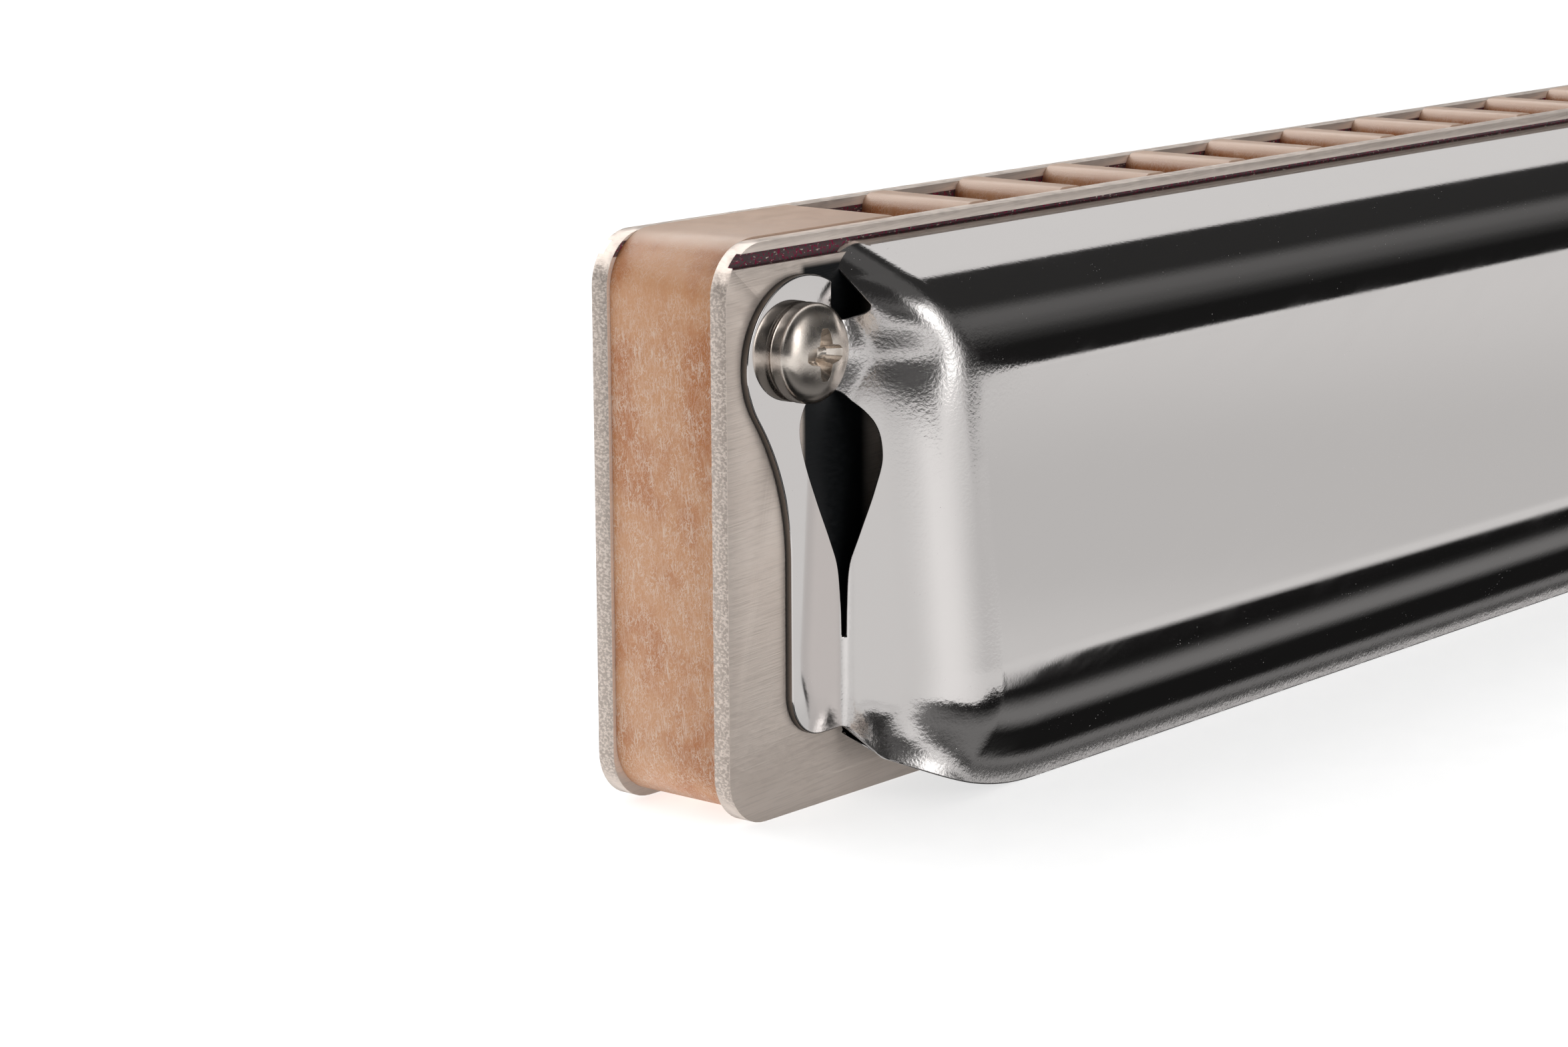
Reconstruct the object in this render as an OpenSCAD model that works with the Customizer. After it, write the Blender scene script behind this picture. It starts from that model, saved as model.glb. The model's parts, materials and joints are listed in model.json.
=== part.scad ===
// Ten-hole diatonic harmonica, standing on its rear edge with the mouth holes up.
// A comb is sandwiched between two reed plates and two folded sheet covers.
// +X runs along the length to the low notes, -Y is the blow side, +Z is the mouth side.
// The origin is on the ground, under the middle of the body.

/* [Reed plates] */
// Length of the two reed plates
body_len = 99.8; // [97:0.2:130]
// Depth of the plates, from the rear edge to the mouth edge
plate_depth = 27.3; // [26.6:0.1:34]
// Thickness of each plate
plate_t = 0.95; // [0.8:0.05:1.4]
// Corner radius of the plates
plate_corner = 2.5; // [0.5:0.1:4]
// Distance from the mouth edge to the groove that the cover's front edge sits in
groove_setback = 0.43; // [0.3:0.01:0.8]
// Width of the groove
groove_w = 0.67; // [0.6:0.01:1]
// Depth of the groove
groove_deep = 0.3; // [0.2:0.05:0.4]
// Distance from the groove's ends to the plate's ends
groove_inset = 0.5; // [0:0.1:4]

/* [Comb] */
// Thickness of the comb
comb_t = 6.36; // [5.3:0.02:8]
// How far the comb stands proud of the plates at the mouth
comb_proud = 0.1; // [0:0.05:0.5]
// How far the comb stays inside the plates at both ends
comb_inset = 0.2; // [0:0.05:0.5]
// How far the comb stays inside the plates at the rear
comb_rear_gap = 0.3; // [0:0.05:0.6]
// Corner radius of the comb
comb_corner = 2.8; // [0.5:0.1:4]
// Distance from one mouth hole to the next
hole_pitch = 7.5; // [6.6:0.05:7.8]
// Width of each mouth hole
hole_w = 5; // [4.3:0.1:5.4]
// Radius on the front edges of the walls between the holes
wall_round = 0.8; // [0.1:0.05:0.9]

/* [Reeds] */
// Slot length of the lowest reeds
slot_len_low = 15.5; // [12.5:0.1:15.6]
// Slot length of the highest reeds
slot_len_high = 9.5; // [7.5:0.1:12]
// Width of the reed tongues
reed_w = 2.1; // [1.6:0.05:2.6]
// Gap between a tongue and each long wall of its slot
reed_side_gap = 0.06; // [0.04:0.01:0.12]
// Gap between a tongue and each end of its slot
reed_end_gap = 0.08; // [0.05:0.01:0.15]
// Thickness of the tongues
reed_t = 0.22; // [0.12:0.02:0.4]
// Rest height of the tongues above their plate
reed_lift = 0.1; // [0.05:0.01:0.2]
// Length of the riveted pad at a reed's fixed end
pad_len = 3.5; // [2.8:0.1:3.6]
// Width of the pad
pad_w = 3; // [2.4:0.1:3.6]
// Thickness of the pad
pad_t = 0.5; // [0.3:0.05:0.7]
// Radius of the rivets
rivet_r = 0.6; // [0.4:0.05:0.8]
// Radius of the rivet heads
rivet_head_r = 0.95; // [0.85:0.05:1.1]
// Height of the rivet heads
rivet_head_h = 0.35; // [0.2:0.05:0.5]
// Distance from the mouth edge to the front ends of the blow slots
blow_slot_setback = 4.4; // [4:0.1:5]
// Distance from the groove to the pads of the draw reeds
draw_pad_setback = 1.8; // [1.6:0.1:2.4]

/* [Plate screws] */
// Shank radius of the screws that hold the plates to the comb
plate_screw_r = 0.5; // [0.4:0.05:0.6]
// Head radius of the plate screws
plate_screw_head_r = 0.95; // [0.8:0.05:1.2]
// Head height of the plate screws
plate_screw_head_h = 0.45; // [0.3:0.05:0.5]
// Depth of the plate screws in the comb
plate_screw_bite = 2.3; // [1.5:0.1:2.5]
// Height of the rear row of plate screws above the rear edge
rear_row_z = 1.9; // [1.6:0.1:2.2]
// Distance from the mouth edge to the front row of plate screws
front_row_setback = 5.1; // [4.8:0.1:6]

/* [Covers] */
// Thickness of the cover sheet
sheet = 0.45; // [0.3:0.05:0.6]
// Height of the covers above the plates
cover_rise = 6.15; // [5.6:0.05:8]
// Slope of the covers' front face
front_angle = 60; // [50:1:70]
// Outer radius of the bend between the front face and the roof
front_bend = 4.8; // [3:0.1:6]
// Slope of the roof, which rises to the rear
roof_angle = 4.5; // [2:0.5:6]
// Outer radius of the bend behind the roof
rear_bend = 7; // [4:0.1:8]
// How far the roof turns down at its rear
rear_angle = 22; // [10:1:30]
// Radius of the curve that flares the rear lip out again
lip_bend = 3; // [1.5:0.1:4]
// How far the rear lip flares out
lip_angle = 30; // [10:1:40]
// Distance from the plate's end to the fold at the foot of a cover's end wall
fold_inset = 7.65; // [7.2:0.05:9]
// Slope of the end walls
wall_angle = 71; // [65:1:80]
// Outer radius between an end wall and the roof
wall_bend = 2.4; // [1:0.1:3]
// How far the end walls' rear edges are cut back from the lip
wall_cutback = 2.5; // [0:0.1:3]

/* [Cover ears] */
// Radius of the round ear that the cover screw holds
ear_r = 4.05; // [3.8:0.05:4.2]
// Distance from the plate's end to the middle of the ear
ear_inset = 5; // [4.7:0.05:6]
// Distance from the mouth edge to the middle of the ear
ear_setback = 5.8; // [5.6:0.1:6.4]
// Distance from the plate's end to the straight edge of the flange below the ear
flange_inset = 4; // [3.5:0.1:5]
// Radius of the hollow curve from the ear to the straight edge
flange_sweep = 12; // [8:0.5:14]
// Radius of the flange's rear corner
flange_corner = 2.1; // [0.5:0.1:2.5]
// Height of the flange's rear end above the plate's rear edge
flange_rear = 3.6; // [3:0.1:5]

/* [Side vents] */
// Radius of the round end of the drop-shaped vent
vent_r = 1.9; // [1.5:0.05:2.2]
// Distance from the plate's end to the middle of the round end
vent_inset = 6.5; // [6.2:0.05:7]
// Height of the middle of the round end
vent_z = 18.1; // [17.5:0.05:18.5]
// Height of the vent's point
vent_tip_z = 10.8; // [9:0.1:13]
// Height of the lower end of the slit below the point
slit_z = 8; // [6:0.1:10]
// Width of the slit
slit_w = 0.3; // [0.2:0.05:0.6]
// Width of the notch above the ear at its closed end
notch_w = 1.3; // [0.8:0.05:1.5]
// Distance from the fold to the middle of the notch, towards the plate's end
notch_shift = 0.05; // [0:0.05:0.3]
// Distance from the mouth edge to the closed end of the notch
notch_setback = 4.1; // [3.8:0.1:4.4]

/* [Cover screws] */
// Radius of the cover screws
screw_r = 1; // [0.8:0.05:1.2]
// Radial clearance of the cover screws in the covers, plates and comb
screw_clear = 0.15; // [0.1:0.05:0.3]
// Radius of the pan heads
head_r = 2.35; // [2:0.05:2.5]
// Height of the pan heads
head_h = 1.6; // [1.2:0.05:2]
// Height of the straight rim of the heads
head_rim = 0.45; // [0.3:0.05:0.6]
// Width of the arms of the cross recess
cross_w = 0.6; // [0.4:0.05:0.8]
// Span of the cross recess
cross_span = 2.6; // [2:0.1:3]
// Depth of the cross recess
cross_deep = 1.1; // [0.8:0.05:1.2]
// Width of the nuts across their flats
nut_flats = 4; // [3.5:0.1:4.4]
// Thickness of the nuts
nut_t = 1.6; // [1.2:0.1:2]
// Distance from the plate's end to the screws
screw_inset = 4.7; // [4.5:0.05:5.5]
// Distance from the mouth edge to the screws
screw_setback = 5.3; // [5:0.1:6]

/* [Hidden] */
$fn = 48;

hole_count = 10;
over = 1;            // how far cutters run past what they cut
fit_gap = 0.02;      // radial gap of a screw or rivet that fills its hole
chamber_room = 0.5;  // free length behind the last piece in a chamber
arc_steps = 8;       // flats in each bend of the covers
foot_gap = 0.05;     // gap under the cover's edge in the groove
foot_setback = 0.17; // gap in front of the cover's edge in the groove

half_len = body_len / 2;
comb_face = comb_t / 2;
plate_face = comb_face + plate_t;
mouth_z = plate_depth + comb_proud;
groove_front = plate_depth - groove_setback;
groove_back = groove_front - groove_w;
slot_w = reed_w + 2 * reed_side_gap;
screw_x = half_len - screw_inset;
screw_z = plate_depth - screw_setback;
front_row_z = plate_depth - front_row_setback;

// Number 1 is the lowest note, at the +X end.
function hole_x(n) = ((hole_count + 1) / 2 - n) * hole_pitch;
function slot_len(n) = slot_len_low + (slot_len_high - slot_len_low) * (n - 1) / (hole_count - 1);

// Blow reeds are fixed at the rear and draw reeds at the front, both at root_z.
blow_front_z = plate_depth - blow_slot_setback;
function blow_root_z(n) = blow_front_z - slot_len(n);
draw_root_z = groove_back - draw_pad_setback - pad_len;
function chamber_rear_z(n) =
    min(blow_root_z(n) - pad_len, draw_root_z - slot_len(n)) - chamber_room;

// Walls between the holes, numbered as the hole on their +X side.
function wall_x(n) = hole_x(n) - hole_pitch / 2;
front_row_walls = [2, 5, 8];
rear_row_walls = [1, 3, 5, 7, 9];
plate_screw_places = concat(
    [for (n = front_row_walls) [wall_x(n), front_row_z]],
    [for (n = rear_row_walls) [wall_x(n), rear_row_z]]);

// Points along an arc, from angle a0 to angle a1.
function arc(centre, r, a0, a1) = [for (i = [0 : arc_steps])
    let (a = a0 + (a1 - a0) * i / arc_steps) [centre[0] + r * cos(a), centre[1] + r * sin(a)]];

// A cover's section is drawn with u to the rear and h away from the plate.
// Two straight flanks join three bends, and both flanks' lengths follow from the rise and depth.
foot_h = -(groove_deep - foot_gap);
cover_front_z = groove_front - foot_setback;
section_rise = cover_rise - foot_h
    - front_bend * (cos(roof_angle) - cos(front_angle)) - rear_bend * (1 - cos(roof_angle));
section_run = cover_front_z
    - front_bend * (sin(front_angle) - sin(roof_angle))
    - rear_bend * (sin(roof_angle) + sin(rear_angle))
    - lip_bend * (sin(rear_angle) + sin(lip_angle));
flank_turn = sin(front_angle - roof_angle);
front_flank = (section_rise * cos(roof_angle) - section_run * sin(roof_angle)) / flank_turn;
roof_flank = (section_run * sin(front_angle) - section_rise * cos(front_angle)) / flank_turn;

function ahead(p, angle, run) = [p[0] + run * cos(angle), p[1] + run * sin(angle)];
bend1_start = ahead([0, foot_h], front_angle, front_flank);
bend1_centre = ahead(bend1_start, front_angle - 90, front_bend);
roof_start = ahead(bend1_centre, roof_angle + 90, front_bend);
roof_end = ahead(roof_start, roof_angle, roof_flank);
bend2_centre = ahead(roof_end, roof_angle - 90, rear_bend);
bend2_end = ahead(bend2_centre, 90 - rear_angle, rear_bend);
lip_centre = ahead(bend2_end, 90 - rear_angle, lip_bend);

// The section's line at depth d inside the sheet's outer face.
function section_line(d) = concat(
    [ahead([0, foot_h], front_angle - 90, d)],
    arc(bend1_centre, front_bend - d, front_angle + 90, roof_angle + 90),
    arc(bend2_centre, rear_bend - d, roof_angle + 90, 90 - rear_angle),
    arc(lip_centre, lip_bend + d, 270 - rear_angle, 270 + lip_angle));

// A closed section, from below the plate's face to past the open rear.
function section(d, low, past) = let (line = section_line(d), last = line[len(line) - 1]) concat(
    [[line[0][0] - (line[0][1] - low) / tan(front_angle), low]], line,
    [[cover_front_z + past, last[1] + past * tan(lip_angle)], [cover_front_z + past, low]]);

// An end profile of the cover, half of it, with x from the middle.
fold_x = half_len - fold_inset;
wall_top = cover_rise - wall_bend * (1 - cos(wall_angle));
wall_centre = [fold_x - wall_top / tan(wall_angle) - wall_bend * sin(wall_angle), cover_rise - wall_bend];
function half_profile(d, low) = concat(
    [[fold_x - d / sin(wall_angle) - low / tan(wall_angle), low]],
    arc(wall_centre, wall_bend - d, 90 - wall_angle, 90));
function mirrored(points) = [for (i = [len(points) - 1 : -1 : 0]) [-points[i][0], points[i][1]]];
function end_profile(d, low) = concat(half_profile(d, low), mirrored(half_profile(d, low)));

// The ear and flange, as x from the plate's end and height z.
ear_centre = [ear_inset, plate_depth - ear_setback];
sweep_centre_x = flange_inset - flange_sweep;
sweep_angle = acos((ear_inset - sweep_centre_x) / (ear_r + flange_sweep));
sweep_centre = [sweep_centre_x, ear_centre[1] - (ear_r + flange_sweep) * sin(sweep_angle)];
corner_centre = [flange_inset + flange_corner, flange_rear + flange_corner];
ear_neck_z = plate_depth - notch_setback;
flange_end = fold_inset + 0.3;
ear_outline = concat(
    [[flange_end, flange_rear]],
    arc(corner_centre, flange_corner, 270, 180),
    arc(sweep_centre, flange_sweep, 0, sweep_angle),
    arc(ear_centre, ear_r, 180 + sweep_angle, 40),
    [[flange_end, ear_neck_z + 0.6]]);

// The drop-shaped vent straddles the fold: a circle and two tangents to its point.
vent_centre = [vent_inset, vent_z];
vent_tip = [fold_inset + 0.1, vent_tip_z];
vent_axis = vent_tip - vent_centre;
vent_bearing = atan2(vent_axis[1], vent_axis[0]);
vent_half = acos(vent_r / norm(vent_axis));
vent_outline = concat([vent_tip],
    arc(vent_centre, vent_r, vent_bearing + vent_half, vent_bearing + 180),
    arc(vent_centre, vent_r, vent_bearing + 180, vent_bearing + 360 - vent_half));

// The notch above the ear: a round closed end, open towards the mouth.
notch_x = fold_inset - notch_shift;
notch_centre = [notch_x, ear_neck_z + notch_w / 2];
notch_outline = concat(
    arc(notch_centre, notch_w / 2, 180, 360),
    [[notch_x + 0.1, plate_depth], [notch_x - notch_w / 2, plate_depth]]);

// Flat shape in x and z, given a thickness along y from y0.
module slab(y0, t) {
    translate([0, y0 + t, 0]) rotate([90, 0, 0]) linear_extrude(t) children();
}

// Round bar along y from y0.
module bar(x, z, r, y0, t) {
    translate([x, y0 + t, z]) rotate([90, 0, 0]) cylinder(r = r, h = t);
}

module block(x0, x1, y0, y1, z0, z1) {
    translate([x0, y0, z0]) cube([x1 - x0, y1 - y0, z1 - z0]);
}

module both_ends() {
    children();
    mirror([1, 0, 0]) children();
}

module rounded_rect(x0, x1, z0, z1, r) {
    translate([x0 + r, z0]) square([x1 - x0 - 2 * r, z1 - z0]);
    translate([x0, z0 + r]) square([x1 - x0, z1 - z0 - 2 * r]);
    for (x = [x0 + r, x1 - r], z = [z0 + r, z1 - r]) translate([x, z]) circle(r);
}

// Comb with one air chamber for each hole.
module chamber_outline(n) {
    rear = chamber_rear_z(n);
    translate([hole_x(n) - hole_w / 2, rear]) square([hole_w, mouth_z + over - rear]);
    for (side = [-1, 1]) translate([hole_x(n) + side * hole_w / 2, mouth_z - wall_round])
        difference() {
            translate([side > 0 ? 0 : -wall_round, 0]) square([wall_round, wall_round + over]);
            translate([side * wall_round, 0]) circle(wall_round);
        }
}

module comb() {
    color([0.78, 0.6, 0.48]) difference() {
        slab(-comb_face, comb_t) difference() {
            rounded_rect(-half_len + comb_inset, half_len - comb_inset, comb_rear_gap, mouth_z, comb_corner);
            for (n = [1 : hole_count]) chamber_outline(n);
        }
        both_ends() bar(screw_x, screw_z, screw_r + screw_clear, -comb_face - over, comb_t + 2 * over);
        for (p = plate_screw_places, y0 = [-comb_face - over, comb_face - plate_screw_bite])
            bar(p[0], p[1], plate_screw_r + fit_gap, y0, plate_screw_bite + over);
    }
}

// A reed plate is drawn from y0 outwards; side is -1 for blow and +1 for draw.
module reed_plate(side) {
    y0 = side > 0 ? comb_face : -plate_face;
    groove_y = side > 0 ? plate_face - groove_deep : -plate_face - over;
    difference() {
        slab(y0, plate_t) difference() {
            rounded_rect(-half_len, half_len, 0, plate_depth, plate_corner);
            for (n = [1 : hole_count]) {
                root = side < 0 ? blow_root_z(n) : draw_root_z - slot_len(n);
                translate([hole_x(n) - slot_w / 2, root]) square([slot_w, slot_len(n)]);
            }
        }
        block(-half_len + groove_inset, half_len - groove_inset,
            groove_y, groove_y + groove_deep + over, groove_back, groove_front);
        both_ends() bar(screw_x, screw_z, screw_r + screw_clear, y0 - over, plate_t + 2 * over);
        for (p = plate_screw_places) bar(p[0], p[1], plate_screw_r + fit_gap, y0 - over, plate_t + 2 * over);
        for (n = [1 : hole_count])
            bar(hole_x(n), pad_mid_z(n, side), rivet_r + fit_gap, y0 - over, plate_t + 2 * over);
    }
}

function pad_mid_z(n, side) = side < 0 ? blow_root_z(n) - pad_len / 2 : draw_root_z + pad_len / 2;

module blow_plate() {
    color([0.72, 0.68, 0.62]) reed_plate(-1);
}

module draw_plate() {
    color([0.72, 0.68, 0.62]) reed_plate(1);
}

// The face that a plate's reeds sit on: blow reeds inside, draw reeds outside.
function seat_y(side) = side < 0 ? -comb_face : plate_face;

module reed_pads(side) {
    for (n = [1 : hole_count]) difference() {
        translate([hole_x(n) - pad_w / 2, seat_y(side), pad_mid_z(n, side) - pad_len / 2])
            cube([pad_w, pad_t, pad_len]);
        bar(hole_x(n), pad_mid_z(n, side), rivet_r + fit_gap, seat_y(side) - over, pad_t + 2 * over);
    }
}

module blow_reed_pads() {
    color([0.75, 0.76, 0.78]) reed_pads(-1);
}

module draw_reed_pads() {
    color([0.75, 0.76, 0.78]) reed_pads(1);
}

module rivets(side) {
    for (n = [1 : hole_count]) {
        bar(hole_x(n), pad_mid_z(n, side), rivet_r, seat_y(side) - plate_t, plate_t + pad_t);
        bar(hole_x(n), pad_mid_z(n, side), rivet_head_r, seat_y(side) + pad_t, rivet_head_h);
    }
}

module blow_rivets() {
    color([0.85, 0.72, 0.4]) rivets(-1);
}

module draw_rivets() {
    color([0.85, 0.72, 0.4]) rivets(1);
}

// A tongue rests just above its slot and swings through it.
module reed_tongue(n, side) {
    run = slot_len(n) - 2 * reed_end_gap;
    z0 = side < 0 ? blow_root_z(n) : draw_root_z - slot_len(n);
    translate([hole_x(n) - reed_w / 2, seat_y(side) + reed_lift, z0 + reed_end_gap])
        cube([reed_w, reed_t, run]);
}

module blow_reed(n) {
    color([0.8, 0.8, 0.82]) reed_tongue(n, -1);
}

module draw_reed(n) {
    color([0.8, 0.8, 0.82]) reed_tongue(n, 1);
}

module plate_screws(side) {
    for (p = plate_screw_places) {
        bar(p[0], p[1], plate_screw_r, side < 0 ? -plate_face : comb_face - plate_screw_bite,
            plate_t + plate_screw_bite);
        bar(p[0], p[1], plate_screw_head_r, side < 0 ? -plate_face - plate_screw_head_h : plate_face,
            plate_screw_head_h);
    }
}

module blow_plate_screws() {
    color([0.8, 0.78, 0.74]) plate_screws(-1);
}

module draw_plate_screws() {
    color([0.8, 0.78, 0.74]) plate_screws(1);
}

// The dome of a cover without its ears: section along x, cut by the end profile along z.
module dome(d, low, past) {
    intersection() {
        translate([-half_len, 0, 0]) rotate([90, 0, 90]) linear_extrude(body_len)
            polygon([for (p = section(d, low, past)) [p[1], cover_front_z - p[0]]]);
        translate([0, 0, -2 * over]) linear_extrude(plate_depth + 2 * over) polygon(end_profile(d, low));
    }
}

// The end walls' rear edges rise in a curve from the lip to the flange.
module wall_rear_cut() {
    cut_run = 9;
    steps = 8;
    both_ends() slab(-over, cover_rise + 2 * over) polygon(concat(
        [[fold_x + over, -over], [fold_x - cut_run, -over]],
        [for (i = [0 : steps]) let (s = i / steps)
            [fold_x - cut_run * (1 - s), wall_cutback * pow(s, 2)]],
        [[fold_x + over, wall_cutback]]));
}

// A cover on the +Y side of a plate whose face is at y = 0.
module cover_sheet() {
    difference() {
        union() {
            difference() {
                dome(0, foot_h, 0);
                dome(sheet, -over, over);
                block(-half_len, half_len, -over, 0, -over, groove_back);
            }
            both_ends() translate([half_len, 0, 0]) mirror([1, 0, 0]) slab(0, sheet) polygon(ear_outline);
        }
        wall_rear_cut();
        both_ends() translate([half_len, 0, 0]) mirror([1, 0, 0]) slab(-over, cover_rise + 2 * over) {
            polygon(vent_outline);
            translate([vent_tip[0] - slit_w / 2, slit_z]) square([slit_w, vent_tip_z + 1 - slit_z]);
            polygon(notch_outline);
        }
        both_ends() bar(screw_x, screw_z, screw_r + screw_clear, -over, sheet + 2 * over);
    }
}

module upper_cover() {
    color([0.86, 0.86, 0.86]) mirror([0, 1, 0]) translate([0, plate_face, 0]) cover_sheet();
}

module lower_cover() {
    color([0.86, 0.86, 0.86]) translate([0, plate_face, 0]) cover_sheet();
}

// Pan-head screws go in from the blow side and end flush with the nuts.
screw_seat = plate_face + sheet;
head_round = ((head_r * head_r) + pow(head_h - head_rim, 2)) / (2 * (head_h - head_rim));

module pan_head() {
    difference() {
        intersection() {
            cylinder(r = head_r, h = head_h);
            translate([0, 0, head_h - head_round]) sphere(head_round, $fn = 96);
        }
        for (turn = [0, 90]) rotate([0, 0, turn])
            translate([-cross_span / 2, -cross_w / 2, head_h - cross_deep])
                cube([cross_span, cross_w, over + cross_deep]);
    }
}

module cover_screws() {
    color([0.85, 0.82, 0.77]) both_ends() {
        bar(screw_x, screw_z, screw_r, -screw_seat, 2 * screw_seat + nut_t);
        translate([screw_x, -screw_seat, screw_z]) rotate([90, 0, 0]) pan_head();
    }
}

module cover_nuts() {
    color([0.85, 0.82, 0.77]) both_ends() difference() {
        translate([screw_x, screw_seat + nut_t, screw_z]) rotate([90, 0, 0])
            cylinder(r = nut_flats / sqrt(3), h = nut_t, $fn = 6);
        bar(screw_x, screw_z, screw_r + fit_gap, screw_seat - over, nut_t + 2 * over);
    }
}

comb();
blow_plate();
draw_plate();
upper_cover();
lower_cover();
cover_screws();
cover_nuts();
blow_plate_screws();
draw_plate_screws();
blow_reed_pads();
draw_reed_pads();
blow_rivets();
draw_rivets();
for (n = [1 : hole_count]) {
    blow_reed(n);
    draw_reed(n);
}
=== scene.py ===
"""Studio scene of a ten-hole diatonic harmonica that stands on its rear edge, mouth holes up.

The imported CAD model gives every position. The covers, plates, comb, screws, rivets and reeds are
rebuilt around it with rounded edges, true sheet thickness and procedural finishes. Sizes are in
millimetres until a mesh is made, which is in metres.
"""

from __future__ import annotations

import json
import logging
import math
from dataclasses import dataclass, field
from enum import Enum
from typing import Any, Sequence

import bmesh
import bpy
import numpy as np
from mathutils import Matrix, Vector, geometry

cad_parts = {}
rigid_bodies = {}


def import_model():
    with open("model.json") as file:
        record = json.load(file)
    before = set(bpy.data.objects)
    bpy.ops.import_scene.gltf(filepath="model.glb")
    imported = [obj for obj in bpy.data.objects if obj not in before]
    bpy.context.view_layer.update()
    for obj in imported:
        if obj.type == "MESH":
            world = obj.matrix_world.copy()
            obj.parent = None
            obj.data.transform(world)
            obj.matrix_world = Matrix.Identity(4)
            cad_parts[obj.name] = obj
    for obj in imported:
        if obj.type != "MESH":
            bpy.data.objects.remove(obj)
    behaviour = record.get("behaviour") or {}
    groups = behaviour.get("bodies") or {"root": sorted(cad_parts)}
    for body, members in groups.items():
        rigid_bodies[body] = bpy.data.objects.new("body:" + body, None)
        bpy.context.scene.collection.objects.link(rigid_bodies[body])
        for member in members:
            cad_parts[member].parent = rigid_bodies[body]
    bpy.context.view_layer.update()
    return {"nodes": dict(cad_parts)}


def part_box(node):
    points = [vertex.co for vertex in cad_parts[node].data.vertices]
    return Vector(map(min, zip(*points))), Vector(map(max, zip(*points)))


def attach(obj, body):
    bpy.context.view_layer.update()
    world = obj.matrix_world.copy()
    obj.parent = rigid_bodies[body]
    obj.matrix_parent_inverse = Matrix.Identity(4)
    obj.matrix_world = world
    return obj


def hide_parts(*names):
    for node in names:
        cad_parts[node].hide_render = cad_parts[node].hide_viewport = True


MM = 0.001
BODY = "body"
TURN = 2 * math.pi
# Node kinds and settings that the finishes and the room use most.
MAP, MATH, MIX = "ShaderNodeMapRange", "ShaderNodeMath", "ShaderNodeMix"
EASED = {"interpolation_type": "SMOOTHSTEP"}
PRODUCT = {"operation": "MULTIPLY"}
SUM_OF_PRODUCT = {"operation": "MULTIPLY_ADD"}
SIZE_ONLY = {"operation": "ABSOLUTE"}
COLOURS = {"data_type": "RGBA"}
log = logging.getLogger("harmonica")


class Side(Enum):
    """The two sides of the comb, by the sign of their outward direction along Y."""

    BLOW = -1
    DRAW = 1


class Slot(Enum):
    """The record's material slots."""

    COMB = "comb"
    PLATE = "reed_plate"
    COVER = "cover"
    FASTENER = "fastener"
    REED = "reed"
    RIVET = "rivet"


# ---------------------------------------------------------------- small helpers


def linear(hex_code: str) -> tuple[float, float, float, float]:
    """Turns an sRGB hex colour into the linear colour that shaders use.

    Args:
        hex_code: Six hex digits, without a leading sign.

    Returns:
        Linear red, green, blue and an alpha of one.
    """
    parts = [int(hex_code[i : i + 2], 16) / 255 for i in (0, 2, 4)]
    red, green, blue = (c / 12.92 if c <= 0.04045 else ((c + 0.055) / 1.055) ** 2.4 for c in parts)
    return (red, green, blue, 1.0)


def grey(level: float) -> tuple[float, float, float, float]:
    """A grey of a linear level."""
    return (level, level, level, 1.0)


def add_node(
    tree: bpy.types.NodeTree,
    kind: str,
    settings: dict[str, Any] | None = None,
    inputs: dict[Any, Any] | None = None,
) -> bpy.types.Node:
    """Adds a node with its settings, input values and links.

    Args:
        tree: The node tree.
        kind: The node's type name.
        settings: Attributes of the node.
        inputs: Values, sockets to link from, or nodes whose first output in use is linked, by input
            name or number.

    Returns:
        The new node.
    """
    node = tree.nodes.new(kind)
    for key, value in (settings or {}).items():
        setattr(node, key, value)
    for key, value in (inputs or {}).items():
        if isinstance(value, bpy.types.Node):
            value = next(socket for socket in value.outputs if socket.enabled)
        if isinstance(value, bpy.types.NodeSocket):
            tree.links.new(value, node.inputs[key])
        else:
            node.inputs[key].default_value = value
    return node


def mask(tree: bpy.types.NodeTree, edges: Sequence[tuple[Any, float, float]]) -> Any:
    """Multiplies soft edges into a mask.

    Args:
        tree: The node tree.
        edges: For each edge its value, and where along it the mask is 0 and 1.

    Returns:
        A node that gives 1 where every edge does.
    """
    whole: Any = 1.0
    for value, none, full in edges:
        edge = add_node(tree, MAP, EASED, {0: value, 1: none, 2: full})
        whole = add_node(tree, MATH, PRODUCT, {0: whole, 1: edge})
    return whole


def mesh_piece(
    name: str, points: np.ndarray, faces: Sequence[Sequence[int]], smooth: bool = True
) -> bpy.types.Object:
    """Makes a mesh object from points in millimetres.

    Args:
        name: The piece's name.
        points: Points in the row frame, in millimetres.
        faces: Point numbers of each face, seen from outside in turning order.
        smooth: Whether the faces are shaded smooth.

    Returns:
        The object, linked to the scene.
    """
    mesh = bpy.data.meshes.new(name)
    mesh.from_pydata((np.asarray(points, float) * MM).tolist(), [], [tuple(int(i) for i in f) for f in faces])
    mesh.polygons.foreach_set("use_smooth", [smooth] * len(mesh.polygons))
    mesh.update()
    piece = bpy.data.objects.new(name, mesh)
    bpy.context.scene.collection.objects.link(piece)
    return piece


def baked(piece: bpy.types.Object) -> bpy.types.Object:
    """Applies a piece's modifiers.

    Args:
        piece: A piece with modifiers.

    Returns:
        The same piece, as a plain mesh.
    """
    graph = bpy.context.evaluated_depsgraph_get()
    mesh = bpy.data.meshes.new_from_object(piece.evaluated_get(graph), preserve_all_data_layers=True, depsgraph=graph)
    piece.modifiers.clear()
    piece.data = mesh
    return piece


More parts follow.
